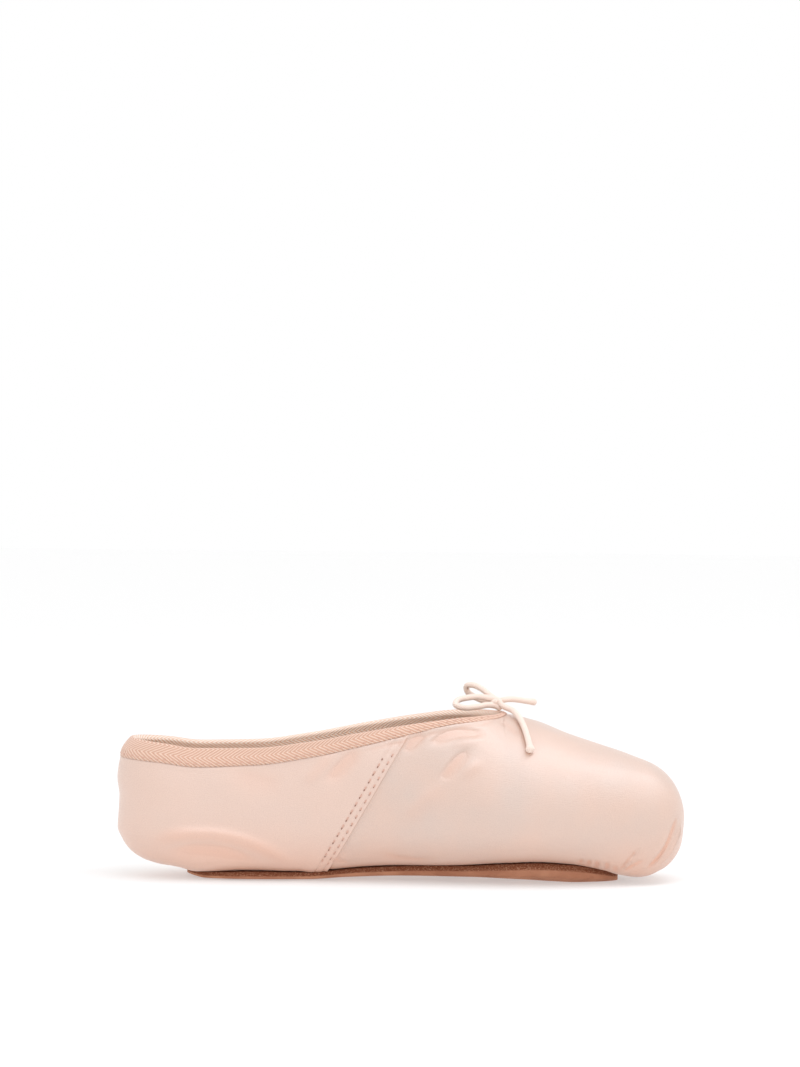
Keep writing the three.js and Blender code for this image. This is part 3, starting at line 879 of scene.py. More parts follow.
@dataclass(frozen=True)
class Fold:
    """A soft trough or ridge along a line on one side of the last.

    Its height over the cloth is amount times exp(-(distance / width)^2), eased in and out at the
    ends. Below the line, the width is multiplied by skew. The line goes through (station,
    height) places.
    """

    line: tuple[tuple[float, float], ...]
    amount: float
    width: float
    ease: float = 0.3
    skew: float = 1.0

    def height(self, points: Array, last: ShoeLast, side: Side, shift: float) -> Array:
        """Height that the fold adds at each point of a surface near the last."""
        places = smooth_path(self.line, min(0.4, self.width / 3)) + np.array([shift, 0.0])
        path = last.at_height(places, side)
        reach = 3.0 * self.width * max(self.skew, 1.0)
        low, high = path.min(axis=0) - reach, path.max(axis=0) + reach
        close = np.flatnonzero(((points > low) & (points < high)).all(axis=1))
        added = np.zeros(len(points))
        if not len(close):
            return added
        gap = np.linalg.norm(points[close, None, :] - path[None, :, :], axis=2)
        nearest = gap.argmin(axis=1)
        share = nearest / (len(path) - 1)
        ends = smoothstep(share / self.ease) * smoothstep((1 - share) / self.ease)
        below = smoothstep(0.5 + (path[nearest, 2] - points[close, 2]) / self.width)
        width = self.width * (1.0 + (self.skew - 1.0) * below)
        added[close] = self.amount * hump(gap.min(axis=1), 0.0, width) * ends
        return added


# Wrinkles below the throat, the pull beside the seam, and the slump over the heel's sole edge
SIDE_FOLDS = (
    Fold(((10.4, 57.6), (15.9, 61.0), (23.4, 63.0), (31.0, 62.8), (36.0, 61.4)),
         -1.5, 1.1, 0.3, 2.2),
    Fold(((9.0, 63.2), (14.5, 65.4), (20.0, 66.2)), 0.6, 1.5),
    Fold(((19.0, 57.2), (26.0, 59.0), (33.5, 58.8)), 0.6, 1.4, 0.4, 2.0),
    Fold(((15.6, 43.4), (19.6, 48.6), (24.0, 53.4), (29.2, 56.0)), -1.5, 1.2, 0.35, 2.4),
    Fold(((24.4, 44.0), (28.4, 48.6), (34.0, 51.6)), 0.6, 1.8, 0.4, 1.6),
    Fold(((0.5, 54.5), (5.4, 59.6), (9.6, 62.8)), -1.1, 1.3, 0.35, 1.8),
    Fold(((38.6, 67.0), (44.0, 65.0), (49.0, 61.0)), -0.55, 1.6),
    Fold(((-15.9, 57.6), (-23.4, 50.1), (-31.9, 40.9)), -1.2, 1.8, 0.4, 2.0),
    Fold(((-27.0, 55.0), (-33.5, 47.5), (-40.0, 40.0)), 0.6, 2.4),
    Fold(((-106.0, 15.4), (-93.0, 19.6), (-76.3, 20.2), (-62.3, 17.4), (-50.7, 12.6), (-41.4, 6.6)),
         1.5, 2.2, 0.25, 1.3),
    Fold(((-100.0, 11.2), (-85.0, 13.6), (-69.6, 12.2), (-56.0, 6.8)), -1.2, 2.2, 0.4, 1.8),
    Fold(((-29.0, 10.6), (-24.5, 8.6), (-21.0, 8.0)), -0.7, 1.2),
    Fold(((-10.0, 13.6), (2.0, 10.6), (16.0, 11.0)), -0.7, 2.0, 0.35, 1.6),
    Fold(((0.0, 24.0), (6.0, 32.0), (13.0, 39.0), (19.0, 42.6)), 0.8, 2.4, 0.4, 2.0),
    Fold(((-72.0, 46.0), (-58.0, 42.0), (-46.0, 41.0)), -0.4, 3.0, 0.4, 2.0),
)

# Pleats where the satin is gathered under the platform, and puckers along the sole
TOE_FOLDS = (
    Fold(((113.8, 28.5), (112.0, 21.0), (109.9, 16.2), (106.0, 10.6), (102.0, 7.0)),
         -2.2, 0.8, 0.25),
    Fold(((116.0, 26.0), (114.4, 19.0), (112.1, 13.8), (108.0, 8.4)), 1.1, 0.9, 0.25),
    Fold(((110.6, 23.0), (107.9, 16.4), (103.4, 10.6)), 0.7, 0.9),
    Fold(((99.6, 17.6), (94.8, 11.4), (90.8, 6.4)), 0.9, 0.6, 0.2),
    Fold(((97.6, 15.6), (93.0, 10.0), (90.0, 6.4)), -0.9, 0.6, 0.2),
    Fold(((99.8, 10.8), (95.0, 8.0), (91.6, 6.2)), -1.2, 0.65),
    Fold(((103.0, 9.2), (98.0, 6.6), (94.0, 4.8)), 0.6, 0.7),
    Fold(((74.0, 12.0), (73.6, 8.4)), -0.9, 0.8, 0.5),
    Fold(((77.4, 11.6), (76.8, 7.4)), -1.3, 0.8, 0.5),
    Fold(((80.6, 11.4), (80.2, 6.4)), -1.5, 0.8, 0.5),
    Fold(((84.6, 10.6), (84.6, 5.4)), -1.5, 0.8, 0.5),
    Fold(((88.0, 9.4), (88.4, 4.4)), -1.2, 0.7, 0.5),
)

# Groove of the seam down the heel's back line
BACK_SEAM = Fold(
    ((-117.44, 30.0), (-117.44, 20.0), (-117.44, 12.0), (-117.42, 6.6)), -0.35, 0.5, 0.1)


# Upper


@dataclass
class SatinUpper:
    """The satin shell and its cotton lining, one wall over the last.

    The heel panel lies over the vamp along a slanting side seam, with two rows of stitches.
    """

    last: ShoeLast
    rows: int = 72
    satin: float = 0.6
    seam_foot: float = -32.3
    seam_lean: float = 0.575
    seam_top: float = 62.0
    # cosine of the seam's lean from upright
    seam_cosine: float = 0.867
    overlap: float = 0.6
    row_places: tuple[float, float] = (1.7, 4.4)
    stitch_pitch: float = 3.65
    # share of the rows that lie on the flat underside
    flat_share: float = 0.06
    # the far side's folds against the near side's, and how far in front of them they lie
    far_weight: float = 0.8
    far_shift: float = -3.0
    # how warm the painted shade of the deepest trough is, and the depth for two thirds of that
    hollow_most: float = 0.48
    hollow_depth: float = 1.4

    def seam_x(self, z: Array) -> Array:
        """Where the folded edge of the heel panel lies at a height."""
        return self.seam_foot + self.seam_lean * np.minimum(z, self.seam_top + 6.0)

    def stations(self) -> Array:
        """Stations, closer together round the heel, at the seam, the throat and the toe."""
        last = self.last
        seam = self.seam_foot + self.seam_lean * self.seam_top
        return np.concatenate([
            round_stations(last.heel_round, last.heel_x, 45, last.heel_power)[:0:-1],
            np.linspace(last.heel_round, seam - 6.4, 68)[:-1],
            np.linspace(seam - 6.4, seam + 1.0, 34)[:-1],
            np.linspace(seam + 1.0, last.throat_start, 12)[:-1],
            round_stations(last.throat_start, last.throat_x, 35, last.throat_power)[:-1],
            np.linspace(last.throat_x, last.toe_round, 56)[:-1],
            round_stations(last.toe_round, last.toe_x, 52, last.toe_power),
        ])

    def outside(self) -> Surface:
        """The whole outside, with the distance from the collar and the share of the rows gone.

        The stations lean with the side seam, so that one grid line lies along its edge. The
        cloth's second place is the girth from the end of the flat underside.
        """
        last = self.last
        station = self.stations()[:, None]
        share = np.linspace(0.0, 1.0, self.rows + 1)[None, :]
        seam = self.seam_foot + self.seam_lean * self.seam_top
        lean = np.where(
            station < seam, smoothstep((station + 80.0) / (seam + 78.0)),
            1.0 - smoothstep((station - seam - 1.0) / 50.0),
        )
        x = np.broadcast_to(station, (len(station), self.rows + 1)).copy()
        knots = np.array([last.heel_x, -105.0, -86.0, -60.0, -30.0, 0.0, 12.0, 62.0, 80.0, 99.0,
                          110.0, last.toe_x])
        there = last.ribs(knots)
        smooth_edge = monotone(np.stack([knots, last.edge(there) - there["flat"]], axis=1))
        for _ in range(4):
            ribs = last.ribs(x)
            edge = last.edge(ribs).reshape(x.shape)
            flat = ribs["flat"].reshape(x.shape)
            level = smooth_edge(x.ravel()).reshape(x.shape)
            girth = flat * np.minimum(share / self.flat_share, 1.0) + share * level
            girth = girth + share**5 * (edge - flat - level)
            points = last.on(ribs, girth.reshape(-1, 1))[:, 0].reshape(*x.shape, 3)
            fall = np.minimum(points[..., 2] - self.seam_top, 0.0)
            x = station + self.seam_lean * fall * lean
        return Surface.both(
            points, np.stack([points[..., 0], girth - flat], axis=-1),
            {"down": edge - girth, "share": np.broadcast_to(share, x.shape)}, split=True)

    def seam_relief(self, points: Array) -> Array:
        """Height of the heel panel over the vamp, with a groove along each row of stitches."""
        behind = (self.seam_x(points[:, 2]) - points[:, 0]) * self.seam_cosine
        step = self.overlap * smoothstep((behind + 0.12) / 0.35)
        fade = 1.0 - smoothstep((behind - 5.4) / 5.0)
        grooves = sum(0.2 * hump(behind, row, 0.45) for row in self.row_places)
        total = (step + 0.14 * hump(behind, 0.45, 0.4) - grooves) * fade
        pucker = 0.07 * np.sin(points[:, 2] * 2 * math.pi / self.stitch_pitch)
        total += pucker * hump(behind, 3.0, 2.2) - 0.25 * hump(behind, -0.8, 0.7)
        return total * smoothstep((np.abs(points[:, 1]) - 6.0) / 5.0)

    def collar_relief(self, points: Array, down: Array, binding: Callable[[Array], Array]) -> Array:
        """The folded satin edge below the tape, and the crease under it, from the waist on."""
        below = down - binding(points[:, 0])
        front = smoothstep((points[:, 0] + 20.0) / 20.0)
        lip = 0.55 * hump(below, 0.7, 0.65) * (0.35 + 0.65 * front)
        crease = 0.42 * hump(below, 2.2, 0.8) * front
        return (lip - crease) * (1.0 - smoothstep((points[:, 0] - 33.0) / 8.0))

    def pleats(self, points: Array) -> Array:
        """Gathers under the platform: waves round the sole's tip, which fade out upwards."""
        x, y, z = points.T
        angle = np.arctan2(y, x - 74.0)
        reach = smoothstep((x - 88.0) / 8.0) * (1.0 - smoothstep((z - 5.0) / 9.0))
        wave = np.abs(np.sin(angle * 13.0 + 0.9 * np.sin(angle * 5.0))) ** 0.6 - 0.62
        return 0.55 * wave * reach

    def drape(self, points: Array) -> Array:
        """Slow unevenness of satin over a pasted box, from a few long waves."""
        x, y, z = points.T
        return (
            0.16 * np.sin(x / 9.3 + z / 13.0 + 0.7 * np.sin(y / 11.0))
            + 0.12 * np.sin(x / 15.7 - z / 8.1 + 1.9)
            + 0.07 * np.sin(x / 4.9 + y / 7.3 + z / 6.1)
        )

    def relief(self, surface: Surface, binding: Callable[[Array], Array]) -> tuple[Array, Array]:
        """Height of all folds and seams at each point, and the painted warm shade there, which
        grows with a trough's depth and towards the bottom.

        The far side has the same folds, a little weaker and further back.
        """
        points, share = surface.points, surface.fields["share"]
        near = points[:, 1] <= 0.0
        folded, tucked = (
            sum(np.where(near, fold.height(points, self.last, Side.NEAR, 0.0),
                         self.far_weight * fold.height(points, self.last, Side.FAR,
                                                       self.far_shift)) for fold in folds)
            for folds in (SIDE_FOLDS, TOE_FOLDS)
        )
        folded += np.where(near, BACK_SEAM.height(points, self.last, Side.NEAR, 0.0), 0.0)
        pleats = self.pleats(points)
        edge = self.collar_relief(points, surface.fields["down"], binding)
        total = (folded + pleats + self.drape(points)) * smoothstep(share / 0.05)
        total += tucked * smoothstep(share / 0.02) + edge + self.seam_relief(points)
        # painted shade: troughs, pleats and the crease under the collar get a warm tint, for light
        # bounced inside them
        deep = 0.7 * np.maximum(folded, 0.0)
        for height, weight in ((folded, 1.0), (tucked, 2.4), (pleats, 1.2), (edge, 1.8)):
            deep -= weight * np.minimum(height, 0.0)
        hollow = self.hollow_most * (1.0 - np.exp(-deep / self.hollow_depth))
        # painted shade: warmer towards the bottom of the shell
        low = 0.3 * (1.0 - smoothstep((points[:, 2] - 3.0) / 26.0))
        return total, np.clip(hollow + low, 0.0, 0.75)

    def build(self, binding: Callable[[Array], Array], satin: bpy.types.Material,
              lining: bpy.types.Material) -> None:
        """Make the satin shell and the lining.

        Args:
            binding: how far the tape reaches down the outside, at a station.
            satin: finish of the outside.
            lining: finish of the inside.
        """
        outside = self.outside()
        x, _, z = outside.points.T
        # Past the throat there is no tape, so the collar counts as far away
        outside.fields["down"] += 30.0 * smoothstep((x - self.last.throat_x - 1.2) / 2.0)
        total, hollow = self.relief(outside, binding)
        total = total * smoothstep((outside.fields["down"] - binding(x)) / 1.2)
        shell = Surface(outside.points, outside.quads, outside.cloth, {
            "hollow": hollow,
            "quarter": smoothstep((self.seam_x(z) - x) / 0.4),
            # darker towards the bottom, below 5 mm
            "soil": 0.5 * (1.0 - smoothstep((z - 2.5) / 2.5)),
        })
        shell.walled(total, -self.satin).piece("satin_upper", satin, "satin", ["upper"])
        inner = Surface(outside.points, outside.quads, outside.cloth)
        inner.walled(-self.satin - 0.05, -self.last.wall_at(x)).piece(
            "cotton_lining", lining, None)


# Binding


@dataclass
class EdgeBinding:
    """Cotton tape folded over the collar's edge and sewn through near its lower border.

    Towards the throat the tape rolls inwards, so that less and less of its outer leg shows.
    """

    last: ShoeLast
    widths: tuple[tuple[float, float], ...] = (
        (-117.5, 7.0), (-88.0, 7.4), (-60.0, 6.4), (-20.0, 5.0), (5.0, 3.4), (20.0, 1.8),
        (46.0, 1.6),
    )
    leg: float = 7.2
    inner_leg: float = 8.0
    tape: float = 0.62
    clear: float = 0.12
    heel_count: int = 31
    side_count: int = 101
    throat_count: int = 41
    stitch_in: float = 1.3
    stitch_pitch: float = 3.2
    stitch_long: float = 1.7
    stitch_radius: float = 0.22

    def __post_init__(self) -> None:
        """Make the curve of the tape's reach down the outside, and its places from the heel."""
        self.reach = monotone(self.widths)
        last = self.last
        self.side = np.linspace(last.heel_round, last.throat_start, self.side_count)
        front = np.linspace(last.throat_start, last.throat_x, self.throat_count)
        # Round the heel, the tape is as wide as at this one station
        self.along = np.concatenate([np.full(self.heel_count - 1, -100.0), self.side, front[1:]])

    def lift(self, above: Array) -> Array:
        """Height of the tape's face over the last, which is less near the outer border."""
        return self.clear + self.tape * (0.35 + 0.65 * smoothstep(above / 2.6))

    def strip(self, down: Array) -> Array:
        """Near half of the last's surface round the collar.

        Args:
            down: (n, m) distances below the edge, for n places from heel to throat.

        Returns:
            (n, m, 3) points.
        """
        last = self.last
        throat = round_stations(0.0, 1.0, self.throat_count, last.throat_power)
        heel = round_stations(last.heel_round, last.heel_x, self.heel_count, last.heel_power)
        back = np.concatenate([heel[:0:-1], self.side])
        depth = last.throat_x - last.throat_start + down[len(back):]
        front = last.throat_start + depth * throat[1:, None]
        x = np.concatenate([np.broadcast_to(back[:, None], (len(back), down.shape[1])), front])
        ribs = last.ribs(x)
        girth = last.edge(ribs, down.ravel())
        return last.on(ribs, girth[:, None])[:, 0].reshape(*x.shape, 3)

    def frame_at(self, down: Array) -> tuple[Array, Array, Array]:
        """Points, outward normals and upward directions of the strip, down from the edge."""
        points = self.strip(down)
        up = self.strip(down - 0.3) - self.strip(down + 0.3)
        up /= np.linalg.norm(up, axis=-1, keepdims=True)
        normal = np.cross(np.gradient(points, axis=0), up)
        normal[[0, -1], :, 1] = 0.0
        normal /= np.maximum(np.linalg.norm(normal, axis=-1, keepdims=True), 1e-9)
        return points, normal, up

    def profile(self) -> tuple[Array, Array, Array]:
        """Round of the folded tape at each place: height over the edge, offset, tape place.

        The loop goes up the outer leg, over the fold, down the inner leg, and back between tape
        and wall. The tape place is 1 at the outer border, 0 at the fold line and -1 inside.
        """
        reach = self.reach(self.along)[:, None]
        wall = self.last.wall_at(self.along)[:, None]
        thin = self.clear
        out, inn = thin + self.tape, wall + thin + self.tape
        rise = np.linspace(0.0, 1.0, 9)[None, :]
        turn = np.linspace(0.0, math.pi, 11)[None, 1:-1]
        back = turn[:, ::-1]
        bulge = 0.12 * np.sin(rise * math.pi)
        legs = [np.broadcast_arrays(height, offset, reach)[:2] for height, offset in (
            (-reach * (1 - rise), self.lift(rise * reach) + bulge),
            (1.1 * np.sin(turn), (out - inn) / 2 + (out + inn) / 2 * np.cos(turn)),
            (-self.inner_leg * rise, -inn - bulge),
            (-self.inner_leg * (1 - rise), -(wall + thin)),
            (0.35 * np.sin(back), -wall / 2 + (wall / 2 + thin) * np.cos(back)),
            (-reach * rise, thin),
        )]
        height, offset = (np.concatenate([leg[k] for leg in legs], axis=1) for k in (0, 1))
        return height, offset, 1.0 - row_lengths(height, offset) / self.leg

    def build(self, tape: bpy.types.Material, thread: bpy.types.Material) -> None:
        """Make the tape and its row of stitches."""
        height, offset, place = self.profile()
        points, normal, up = self.frame_at(np.maximum(-height, 0.0))
        points = points + normal * offset[..., None] + up * np.maximum(height, 0.0)[..., None]
        points[[0, -1], :, 1] = 0.0
        gone = travelled(self.strip(np.zeros((len(self.along), 1)))[:, 0])
        cloth = np.stack([np.broadcast_to(gone[:, None], place.shape), place], axis=-1)
        # inner marks the inner leg, which the tape's finish paints lighter as painted light
        fields = {"inner": smoothstep(-offset / 0.8)}
        Surface.both(points, cloth, fields, loop=True).piece(
            "herringbone_binding", tape, "binding_tape", ["binding"])
        self.stitches(thread)

    def stitches(self, thread: bpy.types.Material) -> None:
        """Make the row of stitches a little above the outer border."""
        reach = self.reach(self.along)
        down = np.maximum(reach - self.stitch_in, 0.5)
        points, normal, _ = self.frame_at(down[:, None])
        path = (points + normal * (self.lift(reach - down) + 0.12)[:, None, None])[:, 0]
        rows = [
            sewn_row(path * mirror, normal[:, 0] * mirror, self.stitch_pitch, self.stitch_long,
                     self.stitch_radius, 0.0)
            for mirror in (np.array([1.0, -side.value, 1.0]) for side in Side)
        ]
        Surface.joined(rows).piece("binding_stitches", thread, "binding_tape")


def sewn_row(line: Array, face: Array, pitch: float, length: float, radius: float,
             sink: float) -> Surface:
    """Short threads along a line: capsules of 6 sides by 7 rings, one for each pitch.

    Args:
        line: (n, 3) points of the row.
        face: (n, 3) outward normals along it.
        pitch: distance between stitches.
        length: length of the visible thread.
        radius: radius of the thread.
        sink: how far the ends dip into the cloth.

    Returns:
        All the threads as one surface.
    """
    gone = travelled(line)
    count = int((gone[-1] - pitch) // pitch)
    middle = pitch * (np.arange(count) + 0.8)

    def at(place: Array, table: Array) -> Array:
        return np.stack([np.interp(place, gone, table[:, k]) for k in range(3)], axis=-1)

    out = at(middle, face)
    out /= np.linalg.norm(out, axis=1, keepdims=True)
    along = at(middle + 0.2, line) - at(middle - 0.2, line)
    along /= np.linalg.norm(along, axis=1, keepdims=True)
    axes = np.stack([along, np.cross(along, out), out], axis=1)
    lengthwise = np.linspace(-1.0, 1.0, 7)[:, None]
    around = np.linspace(0.0, 2 * math.pi, 7)[None, :-1]
    thick = radius * np.sqrt(np.clip(1.0 - np.abs(lengthwise) ** 3, 0.0, 1.0))
    local = np.stack(np.broadcast_arrays(
        lengthwise * length / 2,
        thick * np.cos(around),
        thick * np.sin(around) - sink * lengthwise**2,
    ), axis=-1)
    placed = at(middle, line)[:, None, None, :] + np.einsum("rcj,njk->nrck", local, axes)
    rows, columns = local.shape[:2]
    index = np.arange(rows * columns).reshape(rows, columns)
    index = np.concatenate([index, index[:, :1]], axis=1)
    quads = np.stack([index[:-1, :-1], index[:-1, 1:], index[1:, 1:], index[1:, :-1]],
                     axis=-1).reshape(-1, 4)
    every = quads[None] + (np.arange(count) * rows * columns)[:, None, None]
    cloth = np.zeros((count * len(quads), 4, 2))
    return Surface(placed.reshape(-1, 3), every.reshape(-1, 4), cloth).welded()


# Side seams


@dataclass
class SideSeams:
    """Two rows of stitches behind the folded edge on each side, with the painted shade of their
    needle holes.
    """

    upper: SatinUpper
    low: float = 6.5
    high: float = 57.5
    thread: float = 0.2
    thread_long: float = 1.7
    hole: float = 0.22
    hole_long: float = 1.0

    def build(self, binding: Callable[[Array], Array], thread: bpy.types.Material,
              hole: bpy.types.Material) -> None:
        """Make the threads and the holes between them.

        Args:
            binding: how far the tape reaches down the outside, at a station.
            thread: finish of the thread.
            hole: finish of the holes' painted shade.
        """
        upper, last = self.upper, self.upper.last
        threads, holes = [], []
        for side in Side:
            for k, row in enumerate(upper.row_places):
                z = np.linspace(self.low + 1.2 * k, self.high - 1.6 * k, 90)
                x = upper.seam_x(z) - row / upper.seam_cosine
                line = last.at_height(np.stack([x, z], axis=1), side)
                ahead = last.at_height(np.stack([x + 0.5, z], axis=1), side)
                face = np.cross(ahead - line, np.gradient(line, axis=0)) * (-side.value)
                face /= np.linalg.norm(face, axis=1, keepdims=True)
                fields = {"down": upper.seam_top + 0.8 - z, "share": np.ones(len(z))}
                probe = Surface(line, np.zeros((0, 4), int), np.zeros((0, 4, 2)), fields)
                line = line + face * upper.relief(probe, binding)[0][:, None]
                threads.append(sewn_row(line + face * self.thread, face, upper.stitch_pitch,
                                        self.thread_long, self.thread, 0.1))
                # painted shade: dark capsules stand for the shade inside the needle holes
                holes.append(sewn_row(line[3:] + face[3:] * 0.1, face[3:], upper.stitch_pitch,
                                      self.hole_long, self.hole, 0.0))
        Surface.joined(threads).piece("seam_stitches", thread, "satin")
        Surface.joined(holes).piece("needle_hole_shadows", hole, "satin")


# Soles


@dataclass
class LeatherSole:
    """The outsole: a flat plate with a lower edge rubbed round and a rough bevel round its top."""

    last: ShoeLast
    steps: int = 170
    gap: float = 0.3
    bevel_deep: float = 1.3
    bevel_share: float = 0.5
    bevel_wide: float = 0.9
    bulge: float = 0.12
    rough: float = 0.05

    def ruffle(self, x: Array, k: int) -> Array:
        """Small unevenness of the cut edge, from three short waves."""
        waves_at = ((3.1, 1.0), (5.7, 2.0), (1.7, -1.0))
        return self.rough * sum(np.sin(x * turn + start * k) for turn, start in waves_at)

    def build(self, leather: bpy.types.Material) -> None:
        """Make the outsole: its section is worked out at each station and mirrored.

        Each row is a half width, a height and how rough it is. The rows go out along the face,
        up the edge, in over the bevel and back along the top.
        """
        last = self.last
        first, end = last.sole[0][0], last.sole[-1][0]
        even = np.linspace(0.0, 1.0, self.steps + 1)
        x = first + (end - first) * (0.4 * even + 0.6 * (1 - np.cos(even * math.pi)) / 2)
        reach = last.sole_half(x)
        reach[[0, -1]] = 0.0
        face = last.sole_face(x)
        top = last.underside(x) - self.gap
        low = face + last.sole_lift(x)
        side = top - np.minimum(self.bevel_deep, (top - low) * self.bevel_share)
        rows = [(reach * t, face, 0.0) for t in np.linspace(0.0, 0.5, 5)]
        for t in np.linspace(0.1, 1.0, 8):
            rows.append((reach * (0.5 + 0.5 * t), face + (low - face) * t**2, 0.0))
        for k, t in enumerate(np.linspace(0.2, 1.0, 5)):
            out = reach + self.bulge * np.sin(t * math.pi)
            out = out + (self.ruffle(x, k) if t > 0.7 else 0.0)
            rows.append((out * (reach > 0), low + (side - low) * t, float(t > 0.75)))
        for k, t in enumerate(np.linspace(0.25, 1.0, 4)):
            inward = reach - self.bevel_wide * t + self.ruffle(x, k + 7)
            height = side + (top - side) * t + 0.5 * self.ruffle(x, k + 3) * (t < 1)
            rows.append((inward * (reach > 0), height, 1.0))
        for t in np.linspace(0.75, 0.0, 4):
            rows.append(((reach - self.bevel_wide) * t, top, 0.4))
        points = np.stack([np.stack([x, -np.maximum(y, 0.0), z], axis=1) for y, z, _ in rows],
                          axis=1)
        edge = np.broadcast_to(np.array([e for *_, e in rows])[None], points.shape[:2])
        Surface.both(points, points[..., :2], {"edge": edge}).piece(
            "leather_outsole", leather, "outsole_leather", ["outsole"])


@dataclass
class InsoleBoard:
    """The insole with its cotton sock, a bed of even thickness on the last's underside."""

    last: ShoeLast
    heel_x: float = -113.0
    toe_x: float = 83.6
    rise: float = 3.2
    clear: float = 0.95
    thick: float = 2.0

    def build(self, sock: bpy.types.Material) -> None:
        """Make the insole from the lowest part of each rib, bridged across the opening."""
        last = self.last
        heel = round_stations(last.heel_round, self.heel_x, 24, last.heel_power)
        x = np.concatenate([heel[:0:-1], np.linspace(last.heel_round, self.toe_x, 116)])
        ribs = last.ribs(x)
        rim = rowwise((ribs["z"][:, 0] + self.rise)[:, None], ribs["z"], ribs["girth"])
        outer = last.on(ribs, rim * np.linspace(0.0, 1.0, 14)[None, :])
        inner = outer[:, :1] * np.array([1.0, 0.0, 1.0])
        inner = inner + (outer[:, :1] - inner) * np.linspace(0.0, 1.0, 8)[None, :-1, None]
        points = np.concatenate([inner, outer], axis=1)
        sheet = Surface.both(points, points[..., :2])
        wall = last.wall_at(sheet.points[:, 0]) + self.clear
        sheet.walled(-wall, -wall - self.thick).piece(
            "insole_sock", sock, "insole_board", ["insole"])


# Drawstring


def cord_tube(path: Array, radius: Array, sides: int = 14) -> Surface:
    """Round tube along a path: rings of sides points, turned as little as they can be.

    Args:
        path: (n, 3) points, evenly spaced.
        radius: (n,) radius at each, 0 where an end closes.
        sides: points in a ring.

    Returns:
        The tube, closed at its ends, with its length and girth as the cloth's place.
    """
    tangent = np.gradient(path, axis=0)
    tangent /= np.linalg.norm(tangent, axis=1, keepdims=True)
    across = np.zeros_like(path)
    start = np.cross(tangent[0], [0.0, 0.0, 1.0])
    across[0] = start / np.linalg.norm(start)
    for k in range(1, len(path)):
        carried = across[k - 1] - tangent[k] * np.dot(across[k - 1], tangent[k])
        across[k] = carried / np.linalg.norm(carried)
    up = np.cross(tangent, across)
    turn = np.linspace(0.0, 2 * math.pi, sides + 1)[:-1]
    ring = np.cos(turn)[None, :, None] * across[:, None] + np.sin(turn)[None, :, None] * up[:, None]
    points = path[:, None] + ring * radius[:, None, None]
    gone = travelled(path)
    usual = float(np.median(radius))
    cloth = np.stack(np.broadcast_arrays(gone[:, None], turn[None, :] * usual), axis=-1)
    return Surface.grid(points, cloth, loop=True, turned=True).welded()


